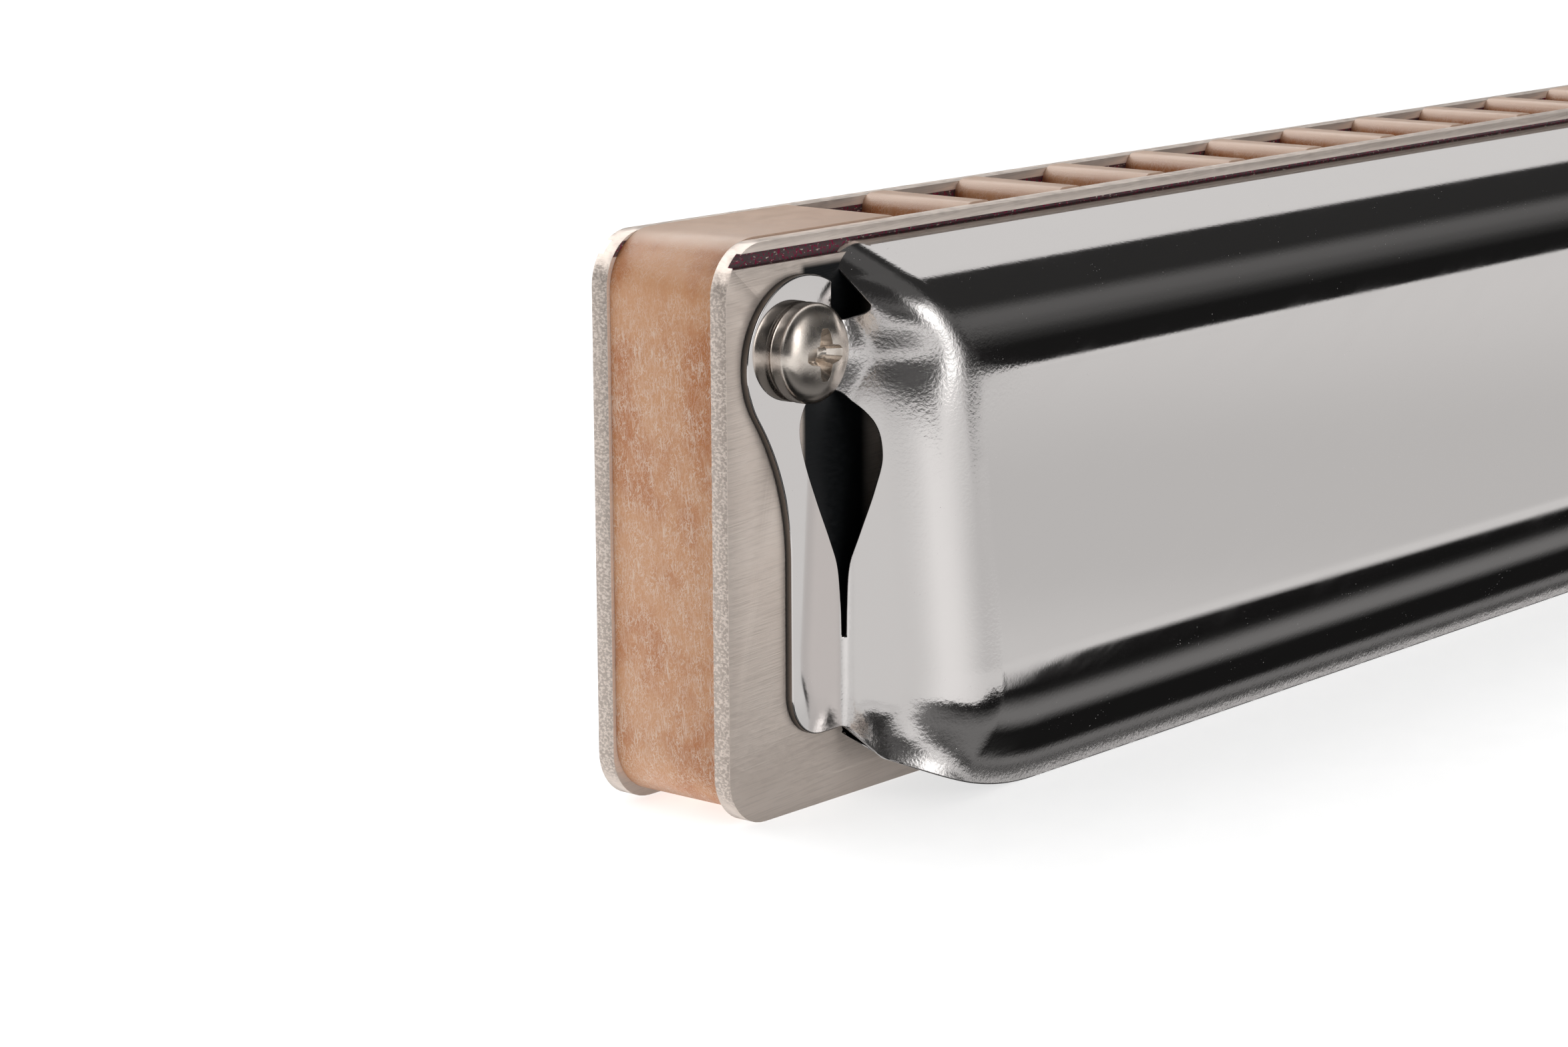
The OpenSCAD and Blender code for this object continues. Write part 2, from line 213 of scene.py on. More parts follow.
def rounded(piece: bpy.types.Object, radius: float, segments: int = 2, angle: float = 38.0) -> bpy.types.Object:
    """Rounds a piece's sharp edges and keeps its flat faces flat in shading.

    Args:
        piece: A mesh with merged points.
        radius: Radius of the edges in millimetres.
        segments: Faces across each rounded edge.
        angle: Edges turned by more degrees than this are rounded.

    Returns:
        The same piece, as a plain mesh.
    """
    for polygon in piece.data.polygons:
        polygon.use_smooth = True
    bevel = piece.modifiers.new("rounding", "BEVEL")
    bevel.width = radius * MM
    bevel.segments = segments
    bevel.limit_method = "ANGLE"
    bevel.angle_limit = math.radians(angle)
    bevel.harden_normals = True
    bevel.miter_outer = "MITER_ARC"
    # Faces with more than four corners end as triangles.
    fans = piece.modifiers.new("even fans", "TRIANGULATE")
    fans.min_vertices = 5
    fans.ngon_method = "BEAUTY"
    fans.keep_custom_normals = True
    return baked(piece)


def softened_copy(node: bpy.types.Object, name: str, radius: float, segments: int = 2) -> bpy.types.Object:
    """Copies a CAD node, joins its flat faces and rounds its edges.

    Args:
        node: The CAD node's object, which stays as it is.
        name: The new piece's name.
        radius: Radius of the edges in millimetres.
        segments: Faces across each rounded edge.

    Returns:
        The new piece.
    """
    merge, flat = 1e-6, math.radians(0.4)
    mesh = node.data.copy()
    mesh.name = name
    mesh.materials.clear()
    work = bmesh.new()
    work.from_mesh(mesh)
    bmesh.ops.remove_doubles(work, verts=work.verts, dist=merge)
    bmesh.ops.dissolve_limit(work, angle_limit=flat, verts=work.verts, edges=work.edges)
    work.to_mesh(mesh)
    work.free()
    piece = bpy.data.objects.new(name, mesh)
    bpy.context.scene.collection.objects.link(piece)
    return rounded(piece, radius, segments)


def ring_stack(rings: Sequence[np.ndarray], closed: bool = False) -> tuple[np.ndarray, list[tuple[int, ...]]]:
    """Joins rings of equal length into a skin.

    Args:
        rings: Rings of points, each turning the same way.
        closed: Whether the last ring joins the first, as in a tube round a hole.

    Returns:
        All points, and faces with flat caps at both ends unless closed.
    """
    size = len(rings[0])
    faces: list[tuple[int, ...]] = []
    pairs = len(rings) if closed else len(rings) - 1
    for k in range(pairs):
        low, high = k * size, ((k + 1) % len(rings)) * size
        faces += [(low + i, low + (i + 1) % size, high + (i + 1) % size, high + i) for i in range(size)]
    if not closed:
        faces.append(tuple(range(size - 1, -1, -1)))
        faces.append(tuple((len(rings) - 1) * size + i for i in range(size)))
    return np.vstack(rings), faces


def outward(piece: bpy.types.Object) -> bpy.types.Object:
    """Merges a piece's doubles and turns its faces outwards.

    Args:
        piece: A closed mesh.

    Returns:
        The same piece.
    """
    merge = 1e-7
    work = bmesh.new()
    work.from_mesh(piece.data)
    bmesh.ops.remove_doubles(work, verts=work.verts, dist=merge)
    bmesh.ops.recalc_face_normals(work, faces=work.faces)
    work.to_mesh(piece.data)
    work.free()
    return piece


def lathe(name: str, profile: Sequence[tuple[float, float]], side: Side, steps: int = 64) -> bpy.types.Object:
    """Turns a profile round an axis along Y through the origin.

    Args:
        name: The piece's name.
        profile: Radius and height pairs from bottom to top; height grows outwards.
        side: Which way is outwards.
        steps: Points round the axis.

    Returns:
        A closed turned piece.
    """
    turn = np.arange(steps) * TURN / steps
    rings = [
        np.column_stack([r * np.cos(turn), np.full(steps, side.value * h), r * np.sin(turn)]) for r, h in profile
    ]
    points, faces = ring_stack(rings)
    return outward(mesh_piece(name, points, faces))


def grow(name: str, tree: bpy.types.NodeTree, values: dict[str, Any]) -> bpy.types.Object:
    """Runs a Geometry Nodes tree once and keeps its result as a plain mesh.

    Args:
        name: The piece's name.
        tree: The tree to run.
        values: Input values by socket name.

    Returns:
        The piece.
    """
    piece = mesh_piece(name, np.zeros((0, 3)), [])
    modifier = piece.modifiers.new("grow", "NODES")
    modifier.node_group = tree
    for item in tree.interface.items_tree:
        if item.item_type == "SOCKET" and item.in_out == "INPUT" and item.name in values:
            modifier[item.identifier] = values[item.name]
    return baked(piece)


# ---------------------------------------------------------------- finishes


@dataclass(frozen=True)
class Finish:
    """A material of the real object and how its surface was made."""

    name: str

    def start(self) -> tuple[bpy.types.Material, bpy.types.NodeTree, bpy.types.Node]:
        """Makes the material and its empty tree.

        Returns:
            The material, its tree and a node that gives the object's place in millimetres.
        """
        material = bpy.data.materials.new(self.name)
        material.use_nodes = True
        tree = material.node_tree
        tree.nodes.clear()
        metres = add_node(tree, "ShaderNodeTexCoord").outputs["Object"]
        return material, tree, add_node(
            tree, "ShaderNodeVectorMath", {"operation": "SCALE"}, {0: metres, "Scale": 1 / MM}
        )

    @staticmethod
    def finish(tree: bpy.types.NodeTree, inputs: dict[str, Any]) -> None:
        """Ends a material's tree with its surface shader.

        Args:
            tree: The material's tree.
            inputs: Values and nodes for the shader's inputs.
        """
        shader = add_node(tree, "ShaderNodeBsdfPrincipled", None, inputs)
        add_node(tree, "ShaderNodeOutputMaterial", None, {"Surface": shader})

    @staticmethod
    def grain(
        tree: bpy.types.NodeTree,
        place: bpy.types.Node,
        pitch: Sequence[float],
        turn: Sequence[float] = (0.0, 0.0, 0.0),
        detail: float = 2.0,
    ) -> bpy.types.Node:
        """Adds a pattern of grains that have the given size in millimetres along each axis.

        Args:
            tree: The node tree.
            place: Coordinates in millimetres.
            pitch: Grain size along each axis.
            turn: Turn of the pattern in degrees.
            detail: Octaves of the noise.

        Returns:
            A node whose value goes from 0 to 1.
        """
        turned = add_node(
            tree, "ShaderNodeMapping", {"vector_type": "POINT"},
            {"Vector": place, "Rotation": [math.radians(a) for a in turn]},
        )
        sized = add_node(
            tree, "ShaderNodeVectorMath", PRODUCT, {0: turned, 1: [1 / p for p in pitch]}
        )
        return add_node(
            tree, "ShaderNodeTexNoise", None,
            {"Vector": sized, "Scale": 1.0, "Detail": detail, "Roughness": 0.55},
        )


@dataclass(frozen=True)
class PressedFibre(Finish):
    """Wood fibre pressed in clear resin and sawn: warm tan with short pale hairs, half gloss."""

    name: str = "pressed_wood_fibre_composite"
    resin: str = "BD7540"
    pale: str = "D49C72"
    hair: str = "EEDCCB"
    milled_and_lit: str = "F6D8C2"

    def make(self, mouth_z: float) -> bpy.types.Material:
        """Makes the comb's material.

        Args:
            mouth_z: Height of the milled mouth face in millimetres.

        Returns:
            The material.
        """
        material, tree, place = self.start()
        cloud = self.grain(tree, place, (3.4, 3.4, 4.2), detail=3.0)
        mottle = self.grain(tree, place, (0.9, 0.9, 1.2), (20, 35, 0), 3.0)
        # Hairs are 0.06 mm thick and half a millimetre long, and lie in every direction.
        hairs: Any = 0.0
        for thick, run, turn, edge in (
            (0.06, 0.7, (7, 0, 0), 0.53), (0.06, 0.6, (-14, 10, 20), 0.54), (0.06, 0.5, (34, 12, 20), 0.55),
            (0.06, 0.5, (-40, -15, 40), 0.55), (0.07, 0.4, (78, 30, -30), 0.57),
        ):
            lying = self.grain(tree, place, (thick, thick, run), turn, 1.5)
            streak = add_node(tree, MAP, EASED, {0: lying, 1: edge, 2: edge + 0.15})
            hairs = add_node(tree, MATH, {"operation": "MAXIMUM"}, {0: hairs, 1: streak})
        tufts = self.grain(tree, place, (0.6, 0.6, 1.0), (0, 40, 0), 4.0)
        bunch = add_node(tree, MAP, EASED, {0: tufts, 1: 0.34, 2: 0.66, 3: 0.3, 4: 0.9})
        shown = add_node(tree, MATH, PRODUCT, {0: hairs, 1: bunch})
        # The resin is cloudy, and paler where more fibre lies in it.
        resin, pale = linear(self.resin), linear(self.pale)
        base = add_node(tree, MIX, COLOURS, {
            0: add_node(tree, MAP, EASED, {0: cloud, 1: 0.38, 2: 0.64}), 6: resin, 7: pale,
        })
        base = add_node(tree, MIX, COLOURS, {
            0: add_node(tree, MAP, EASED, {0: mottle, 1: 0.3, 2: 0.75, 4: 0.35}), 6: base, 7: pale,
        })
        # Near the mouth the resin lies thicker over the hairs.
        height = add_node(tree, "ShaderNodeSeparateXYZ", None, {0: place}).outputs[2]
        sunk = add_node(tree, MAP, EASED, {0: height, 1: mouth_z - 5.5, 2: mouth_z - 1.5, 3: 0.8, 4: 0.36})
        share = add_node(tree, MATH, PRODUCT, {0: shown, 1: sunk})
        coloured = add_node(tree, MIX, COLOURS, {0: share, 6: base, 7: linear(self.hair)})
        # The mouth face is cut by milling, so its fibres are cut through and it is plainer; its paler colour is
        # partly painted light, for the light that falls on the top face.
        top = add_node(tree, MAP, EASED, {0: height, 1: mouth_z - 0.75, 2: mouth_z - 0.12, 4: 0.8})
        coloured = add_node(tree, MIX, COLOURS, {0: top, 6: coloured, 7: linear(self.milled_and_lit)})
        # Hairs and saw ridges stand a few hundredths of a millimetre proud.
        ridges = self.grain(tree, place, (0.5, 3.0, 0.5))
        relief = add_node(tree, MATH, {"operation": "ADD"}, {0: shown, 1: ridges})
        bump = add_node(tree, "ShaderNodeBump", None, {"Height": relief, "Strength": 0.25, "Distance": 0.00003})
        self.finish(tree, {
            "Base Color": coloured, "Normal": bump, "IOR": 1.5, "Coat Weight": 0.25, "Coat Roughness": 0.22,
            "Roughness": add_node(tree, MAP, EASED, {0: mottle, 1: 0.3, 2: 0.7, 3: 0.34, 4: 0.46}),
        })
        return material


@dataclass(frozen=True)
class LappedNickelSilver(Finish):
    """Nickel silver sheet, lapped flat and punched out: satin faces with fine marks, torn grainy ends."""

    name: str = "lapped_nickel_silver"
    metal: str = "F6E8DD"
    dull: str = "EADACE"
    torn: str = "C9BBB1"
    groove: str = "5A4A4C"
    fleck: str = "8E1242"
    # Near black painted shade for the plates under the covers' vent holes.
    vent_shade_colour: str = "1B1D1F"

    def make(self, groove: tuple[float, float], face: float, end: float) -> bpy.types.Material:
        """Makes the plates' material.

        Args:
            groove: Lowest and highest z of the milled groove.
            face: Distance of the plates' outer faces from the middle plane.
            end: Distance of the plates' ends from the middle.

        Returns:
            The material.
        """
        material, tree, place = self.start()
        parts = add_node(tree, "ShaderNodeSeparateXYZ", None, {0: place}).outputs
        normal = add_node(tree, "ShaderNodeNewGeometry").outputs["Normal"]
        facing = add_node(tree, "ShaderNodeSeparateXYZ", None, {0: normal}).outputs
        across, length, depth = (
            add_node(tree, MATH, SIZE_ONLY, {0: value}) for value in (facing[0], parts[0], parts[1])
        )
        metal, dull, torn = (linear(colour) for colour in (self.metal, self.dull, self.torn))
        # Lapping leaves scratches along X, 0.07 mm apart and some millimetres long.
        lap = self.grain(tree, place, (2.4, 0.4, 0.07), (0, 3, 0), 3.0)
        cloud = self.grain(tree, place, (6.0, 3.0, 5.0), detail=3.0)
        stain = self.grain(tree, place, (0.5, 0.3, 0.18), (0, -8, 0), 4.0)
        colour = add_node(tree, MIX, COLOURS, {
            0: add_node(tree, MAP, EASED, {0: cloud, 1: 0.35, 2: 0.7, 4: 0.6}), 6: metal, 7: dull,
        })
        colour = add_node(tree, MIX, COLOURS, {
            0: add_node(tree, MAP, EASED, {0: lap, 1: 0.45, 2: 0.7, 4: 0.3}), 6: colour, 7: torn,
        })
        # Punched ends: torn grains 0.1 mm across, drawn out along the thickness.
        ends = add_node(tree, MAP, EASED, {0: across, 1: 0.8, 2: 0.97})
        tear = self.grain(tree, place, (0.3, 0.16, 0.11), detail=4.0)
        punched = add_node(tree, MIX, COLOURS, {
            0: add_node(tree, MAP, EASED, {0: tear, 1: 0.42, 2: 0.62}), 6: torn, 7: metal,
        })
        colour = add_node(tree, MIX, COLOURS, {0: ends, 6: colour, 7: punched})
        # The groove is painted dark, with a few crimson flecks of polishing rouge.
        painted_dark = mask(tree, (
            (depth, face - 0.12, face - 0.2), (parts[2], groove[0] - 0.04, groove[0] + 0.01),
            (parts[2], groove[1] + 0.04, groove[1] - 0.01), (length, end - 0.3, end - 0.45), (across, 0.4, 0.2),
        ))
        specks = self.grain(tree, place, (0.16, 0.16, 0.16), detail=3.0)
        rouge = add_node(tree, MIX, COLOURS, {
            0: add_node(tree, MAP, EASED, {0: specks, 1: 0.5, 2: 0.62}),
            6: linear(self.groove), 7: linear(self.fleck),
        })
        rouge = add_node(tree, MIX, COLOURS, {
            0: add_node(tree, MAP, EASED, {0: tear, 1: 0.6, 2: 0.72}), 6: rouge, 7: dull,
        })
        colour = add_node(tree, MIX, COLOURS, {0: painted_dark, 6: colour, 7: rouge})
        # Painted shade: the plates are painted near black where they lie under the covers' vent holes, for the shade
        # that the covers cast there.
        inward = add_node(tree, MATH, {"operation": "SUBTRACT"}, {0: end, 1: length})
        vent_shade_mask = mask(tree, (
            (inward, 5.1, 5.6), (inward, 11.0, 9.5), (parts[2], 5.5, 7.0), (parts[2], 26.1, 25.7),
        ))
        colour = add_node(tree, MIX, COLOURS, {0: vent_shade_mask, 6: colour, 7: linear(self.vent_shade_colour)})
        worn = add_node(tree, MATH, PRODUCT, {0: ends, 1: tear})
        relief = add_node(tree, MATH, SUM_OF_PRODUCT, {0: worn, 1: 1.6, 2: lap})
        bump = add_node(tree, "ShaderNodeBump", None, {"Height": relief, "Strength": 0.6, "Distance": 0.000014})
        # The lapped skin scatters part of the light like a thin oxide, so the faces are never quite black.
        self.finish(tree, {
            "Base Color": colour, "Metallic": 0.6, "Normal": bump, "Anisotropic": 0.3,
            "Roughness": add_node(tree, MAP, EASED, {0: stain, 1: 0.3, 2: 0.8, 3: 0.3, 4: 0.48}),
        })
        return material


@dataclass(frozen=True)
class PolishedSteelSheet(Finish):
    """Stainless sheet, mirror polished before it was pressed: the bends show a fine stretched grain."""

    name: str = "polished_stainless_sheet"
    metal: str = "DCD8D6"
    # Sheared edges: their own torn grey, painted darker as painted shade for the edges in shade.
    sheared_and_shaded: str = "8F8780"
    # Dark grey painted shade for the cover's inner skin.
    painted_dark: str = "4A4B4C"

    def make(self) -> bpy.types.Material:
        """Makes the covers' material.

        Returns:
            The material, which reads how far the sheet is worked, cut and hidden from its attributes.
        """
        material, tree, place = self.start()
        worked, cut, hidden = (
            add_node(tree, "ShaderNodeAttribute", {"attribute_name": name}).outputs["Fac"]
            for name in ("worked", "cut", "hidden")
        )
        # Orange peel where the sheet was stretched, drawn at 0.17 mm so that it shows.
        peel = self.grain(tree, place, (0.17, 0.17, 0.17), detail=3.0)
        wave = self.grain(tree, place, (9.0, 9.0, 6.0), detail=1.0)
        strained = add_node(tree, MATH, PRODUCT, {0: peel, 1: worked})
        torn = add_node(tree, MATH, SUM_OF_PRODUCT, {0: cut, 1: peel, 2: strained})
        fine = add_node(tree, "ShaderNodeBump", None, {"Height": torn, "Strength": 0.8, "Distance": 0.000025})
        bump = add_node(tree, "ShaderNodeBump", None, {
            "Height": wave, "Strength": 0.15, "Distance": 0.00002, "Normal": fine
        })
        # Wipe marks dull the mirror a little in places, and so does work on the sheet.
        wipe = self.grain(tree, place, (5.0, 1.2, 1.2), (0, 25, 0), 4.0)
        rough = add_node(tree, MAP, EASED, {0: wipe, 1: 0.35, 2: 0.8, 3: 0.04, 4: 0.08})
        for mark, much in ((worked, 0.2), (cut, 0.25), (hidden, 0.3)):
            rough = add_node(tree, MATH, SUM_OF_PRODUCT, {0: mark, 1: much, 2: rough})
        # Motes of dust 0.1 mm across lie in loose groups.
        dust = self.grain(tree, place, (0.1, 0.1, 0.1), detail=1.0)
        groups = self.grain(tree, place, (2.0, 2.0, 2.0))
        motes = mask(tree, ((dust, 0.745, 0.765), (groups, 0.5, 0.7)))
        metallic = add_node(tree, MATH, {"operation": "SUBTRACT"}, {0: 1.0, 1: motes})
        # Sheared edges are torn and dark: partly their own grey and partly painted shade, for the shade on the
        # sheet's edges. The inner skin is painted dark grey as painted shade, for the shade inside the cover.
        colour = add_node(tree, MIX, COLOURS, {0: cut, 6: linear(self.metal), 7: linear(self.sheared_and_shaded)})
        colour = add_node(tree, MIX, COLOURS, {0: hidden, 6: colour, 7: linear(self.painted_dark)})
        self.finish(tree, {"Base Color": colour, "Metallic": metallic, "Roughness": rough, "Normal": bump})
        return material


@dataclass(frozen=True)
class NickelPlate(Finish):
    """Cold-headed steel with bright nickel plating: a warm mirror with soft pits and handling marks."""

    name: str = "bright_nickel_plate"
    metal: str = "EAE0D6"
    worn: str = "C6B7A8"

    def make(self) -> bpy.types.Material:
        """Makes the screws' and nuts' material.

        Returns:
            The material.
        """
        material, tree, place = self.start()
        pits = self.grain(tree, place, (0.22, 0.22, 0.22), detail=4.0)
        tarnish = self.grain(tree, place, (1.1, 1.1, 1.1), detail=4.0)
        colour = add_node(tree, MIX, COLOURS, {
            0: add_node(tree, MAP, EASED, {0: tarnish, 1: 0.48, 2: 0.78, 4: 0.7}),
            6: linear(self.metal), 7: linear(self.worn),
        })
        rough = add_node(tree, MAP, EASED, {0: tarnish, 1: 0.3, 2: 0.75, 3: 0.2, 4: 0.32})
        bump = add_node(tree, "ShaderNodeBump", None, {"Height": pits, "Strength": 0.3, "Distance": 0.000015})
        self.finish(tree, {"Base Color": colour, "Metallic": 1.0, "Roughness": rough, "Normal": bump})
        return material


@dataclass(frozen=True)
class RolledAlloy(Finish):
    """Rolled spring strip or turned wire: fine lines along Z and a satin shine."""

    metal: str
    dull: str

    def make(self) -> bpy.types.Material:
        """Makes the material of the reeds or the rivets.

        Returns:
            The material.
        """
        material, tree, place = self.start()
        # Rolling and filing lines are 0.05 mm apart and run along the strip.
        lines = self.grain(tree, place, (0.05, 0.05, 2.5), detail=3.0)
        cloud = self.grain(tree, place, (1.5, 1.5, 3.0), detail=3.0)
        colour = add_node(tree, MIX, COLOURS, {
            0: add_node(tree, MAP, EASED, {0: cloud, 1: 0.4, 2: 0.75, 4: 0.8}),
            6: linear(self.metal), 7: linear(self.dull),
        })
        rough = add_node(tree, MAP, EASED, {0: lines, 1: 0.3, 2: 0.7, 3: 0.2, 4: 0.38})
        bump = add_node(tree, "ShaderNodeBump", None, {"Height": lines, "Strength": 0.4, "Distance": 0.00001})
        self.finish(tree, {"Base Color": colour, "Metallic": 1.0, "Roughness": rough, "Normal": bump})
        return material


@dataclass(frozen=True)
class BackdropPaper(Finish):
    """Smooth white background paper under even light."""

    name: str = "white_background_paper"
    paper: str = "D8D8D8"
    fibres: str = "D2D2D2"
    glow: str = "FFFFFF"

    def make(self) -> bpy.types.Material:
        """Makes the floor's material.

        Returns:
            The material.
        """
        material, tree, place = self.start()
        colour = add_node(tree, MIX, COLOURS, {
            0: add_node(tree, MAP, EASED, {0: self.grain(tree, place, (2.0, 2.0, 2.0)), 1: 0.3, 2: 0.7}),
            6: linear(self.paper), 7: linear(self.fibres),
        })
        self.finish(tree, {
            "Base Color": colour, "Roughness": 0.9, "Emission Color": linear(self.glow), "Emission Strength": 0.7,
        })
        return material


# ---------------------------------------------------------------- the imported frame


@dataclass(frozen=True)
class Layout:
    """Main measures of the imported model, in millimetres."""

    half_len: float
    mouth_z: float
    plate_face: float
    cover_foot_z: float
    cover_rise: float
    groove: tuple[float, float]

    @classmethod
    def read(cls) -> Layout:
        """Reads the measures from the CAD nodes' boxes.

        Returns:
            The measures.
        """
        plate_high, comb_high, cover_high = (box_mm(node)[1] for node in ("draw_plate", "comb", "lower_cover"))
        foot = float(cover_high[2])
        foot_room, groove_width = 0.17, 0.67
        return cls(
            half_len=float(plate_high[0]),
            mouth_z=float(comb_high[2]),
            plate_face=float(plate_high[1]),
            cover_foot_z=foot,
            cover_rise=float(cover_high[1] - plate_high[1]),
            groove=(foot + foot_room - groove_width, foot + foot_room),
        )


def box_mm(node: str) -> tuple[np.ndarray, np.ndarray]:
    """Lowest and highest corner of a CAD node, in millimetres."""
    low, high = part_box(node)
    return np.array(low) / MM, np.array(high) / MM


# ---------------------------------------------------------------- covers


def arc(centre: Sequence[float], radius: float, start: float, end: float, steps: int = 24) -> np.ndarray:
    """Points along an arc, with angles in degrees."""
    angles = np.radians(np.linspace(start, end, steps + 1))
    return np.column_stack([centre[0] + radius * np.cos(angles), centre[1] + radius * np.sin(angles)])


def smooth(value: np.ndarray, low: float, high: float) -> np.ndarray:
    """Smooth step from 0 at low to 1 at high."""
    t = np.clip((value - low) / (high - low), 0, 1)
    return t * t * (3 - 2 * t)


def through(knots: Sequence[tuple[float, float]], spacing: float) -> np.ndarray:
    """A smooth open curve through knots, with points about a spacing apart.

    Args:
        knots: Points that the curve passes.
        spacing: Distance between the curve's points.

    Returns:
        The curve's points.
    """
    p = np.array(knots, float)
    p = np.vstack([2 * p[0] - p[1], p, 2 * p[-1] - p[-2]])
    out = []
    for a, b, c, d in zip(p, p[1:], p[2:], p[3:]):
        t = np.linspace(0, 1, 12, endpoint=False)[:, None]
        out.append(0.5 * (2 * b + (c - a) * t + (2 * a - 5 * b + 4 * c - d) * t**2 + (3 * b - a - 3 * c + d) * t**3))
    return respaced(np.vstack([*out, p[-2][None]]), spacing)


def respaced(line: np.ndarray, spacing: float) -> np.ndarray:
    """Spaces a line's points evenly and keeps both ends.

    Args:
        line: The line's points.
        spacing: Distance between the new points, as near as the length allows.

    Returns:
        The new points.
    """
    gaps = np.hypot(*np.diff(line, axis=0).T)
    run = np.concatenate([[0], np.cumsum(gaps)])
    count = max(1, round(run[-1] / spacing))
    at = np.linspace(0, run[-1], count + 1)
    return np.column_stack([np.interp(at, run, line[:, k]) for k in (0, 1)])


def within(points: np.ndarray, loop: np.ndarray) -> np.ndarray:
    """Tells which points lie inside a closed loop.

    Args:
        points: Points in the plane.
        loop: The loop's points in order.

    Returns:
        True for each point inside.
    """
    inside = np.zeros(len(points), bool)
    ahead = np.roll(loop, -1, axis=0)
    for (x0, y0), (x1, y1) in zip(loop, ahead):
        crosses = (y0 > points[:, 1]) != (y1 > points[:, 1])
        if crosses.any():
            x = x0 + (points[:, 1] - y0) * (x1 - x0) / (y1 - y0 if y1 != y0 else 1)
            inside ^= crosses & (points[:, 0] < x)
    return inside


@dataclass(frozen=True)
class CoverSection:
    """The bent section of a cover, from its foot in the groove to its flared rear lip.

    Each bend is a radius in millimetres and the slope in degrees at its end.
    """

    foot_z: float
    rise: float
    foot_h: float = -0.25
    front_slope: float = 60.0
    front_bends: tuple[tuple[float, float], ...] = ((4.7, 22.0), (9.0, 4.5))
    rear_bends: tuple[tuple[float, float], ...] = ((14.0, -3.0), (6.0, -22.0))
    rear_flat: float = 1.3
    lip_bends: tuple[tuple[float, float], ...] = ((3.0, 8.0),)

    @staticmethod
    def bent(start: float, bends: Sequence[tuple[float, float]]) -> np.ndarray:
        """Points of bends in a row, as run and height from their start.

        Args:
            start: Slope before the first bend, in degrees.
            bends: Radius and end slope of each bend.

        Returns:
            The points, which begin at the origin.
        """
        points, slope = [np.zeros((1, 2))], math.radians(start)
        for radius, end in bends:
            angles = np.linspace(slope, math.radians(end), 33)[1:]
            signed = radius if angles[-1] > slope else -radius
            step = signed * np.column_stack([np.sin(angles) - math.sin(slope), math.cos(slope) - np.cos(angles)])
            points.append(points[-1][-1] + step)
            slope = math.radians(end)
        return np.vstack(points)

    def line(self) -> np.ndarray:
        """Lays out the section, with a short way past both ends.

        Returns:
            Its points, as run from the foot and height off the plate.
        """
        roof, rear = self.front_bends[-1][1], self.rear_bends[-1][1]
        front = self.bent(self.front_slope, self.front_bends)
        back = self.bent(roof, self.rear_bends)
        lip = self.bent(rear, self.lip_bends)
        ways = {a: np.array([math.cos(math.radians(a)), math.sin(math.radians(a))]) for a in (
            self.front_slope, roof, rear, self.lip_bends[-1][1]
        )}
        tail = back[-1] + self.rear_flat * ways[rear] + lip[-1]
        # The two flat lengths follow from the whole run and from the height of the highest point.
        known = np.array([
            self.foot_z - front[-1][0] - tail[0], self.rise - self.foot_h - front[-1][1] - back[:, 1].max(),
        ])
        flats = np.linalg.solve(np.column_stack([ways[self.front_slope], ways[roof]]), known)
        foot = np.array([0.0, self.foot_h])
        start = foot + flats[0] * ways[self.front_slope]
        end = start + front[-1] + flats[1] * ways[roof]
        last = end + back[-1] + self.rear_flat * ways[rear]
        return np.vstack([
            foot - ways[self.front_slope], foot, start + front, end + back, last + lip,
            last + lip[-1] + 3 * ways[self.lip_bends[-1][1]],
        ])

    def rows(self, bend_step: float, flat_step: float) -> np.ndarray:
        """Spreads the mesh's rows: close together in the bends and wider on the flats.

        Args:
            bend_step: Distance along the sheet between rows in the bends.
            flat_step: The same on the flats.

        Returns:
            The rows' heights z.
        """
        line = self.line()[1:-1]
        gaps = np.hypot(*np.diff(line, axis=0).T)
        slope = np.arctan2(*np.diff(line, axis=0).T[::-1])
        run = np.concatenate([[0], np.cumsum(gaps)])
        turn = np.concatenate([[0], np.abs(np.diff(slope)), [0]])
        reach, at, out = 0.6, 0.0, []
        while at < run[-1]:
            out.append(at)
            near = np.abs(run - at) < reach
            at += bend_step if (turn[near] > 1e-6).any() else flat_step
        u = np.interp(out + [run[-1]], run, line[:, 0])
        return self.foot_z - u


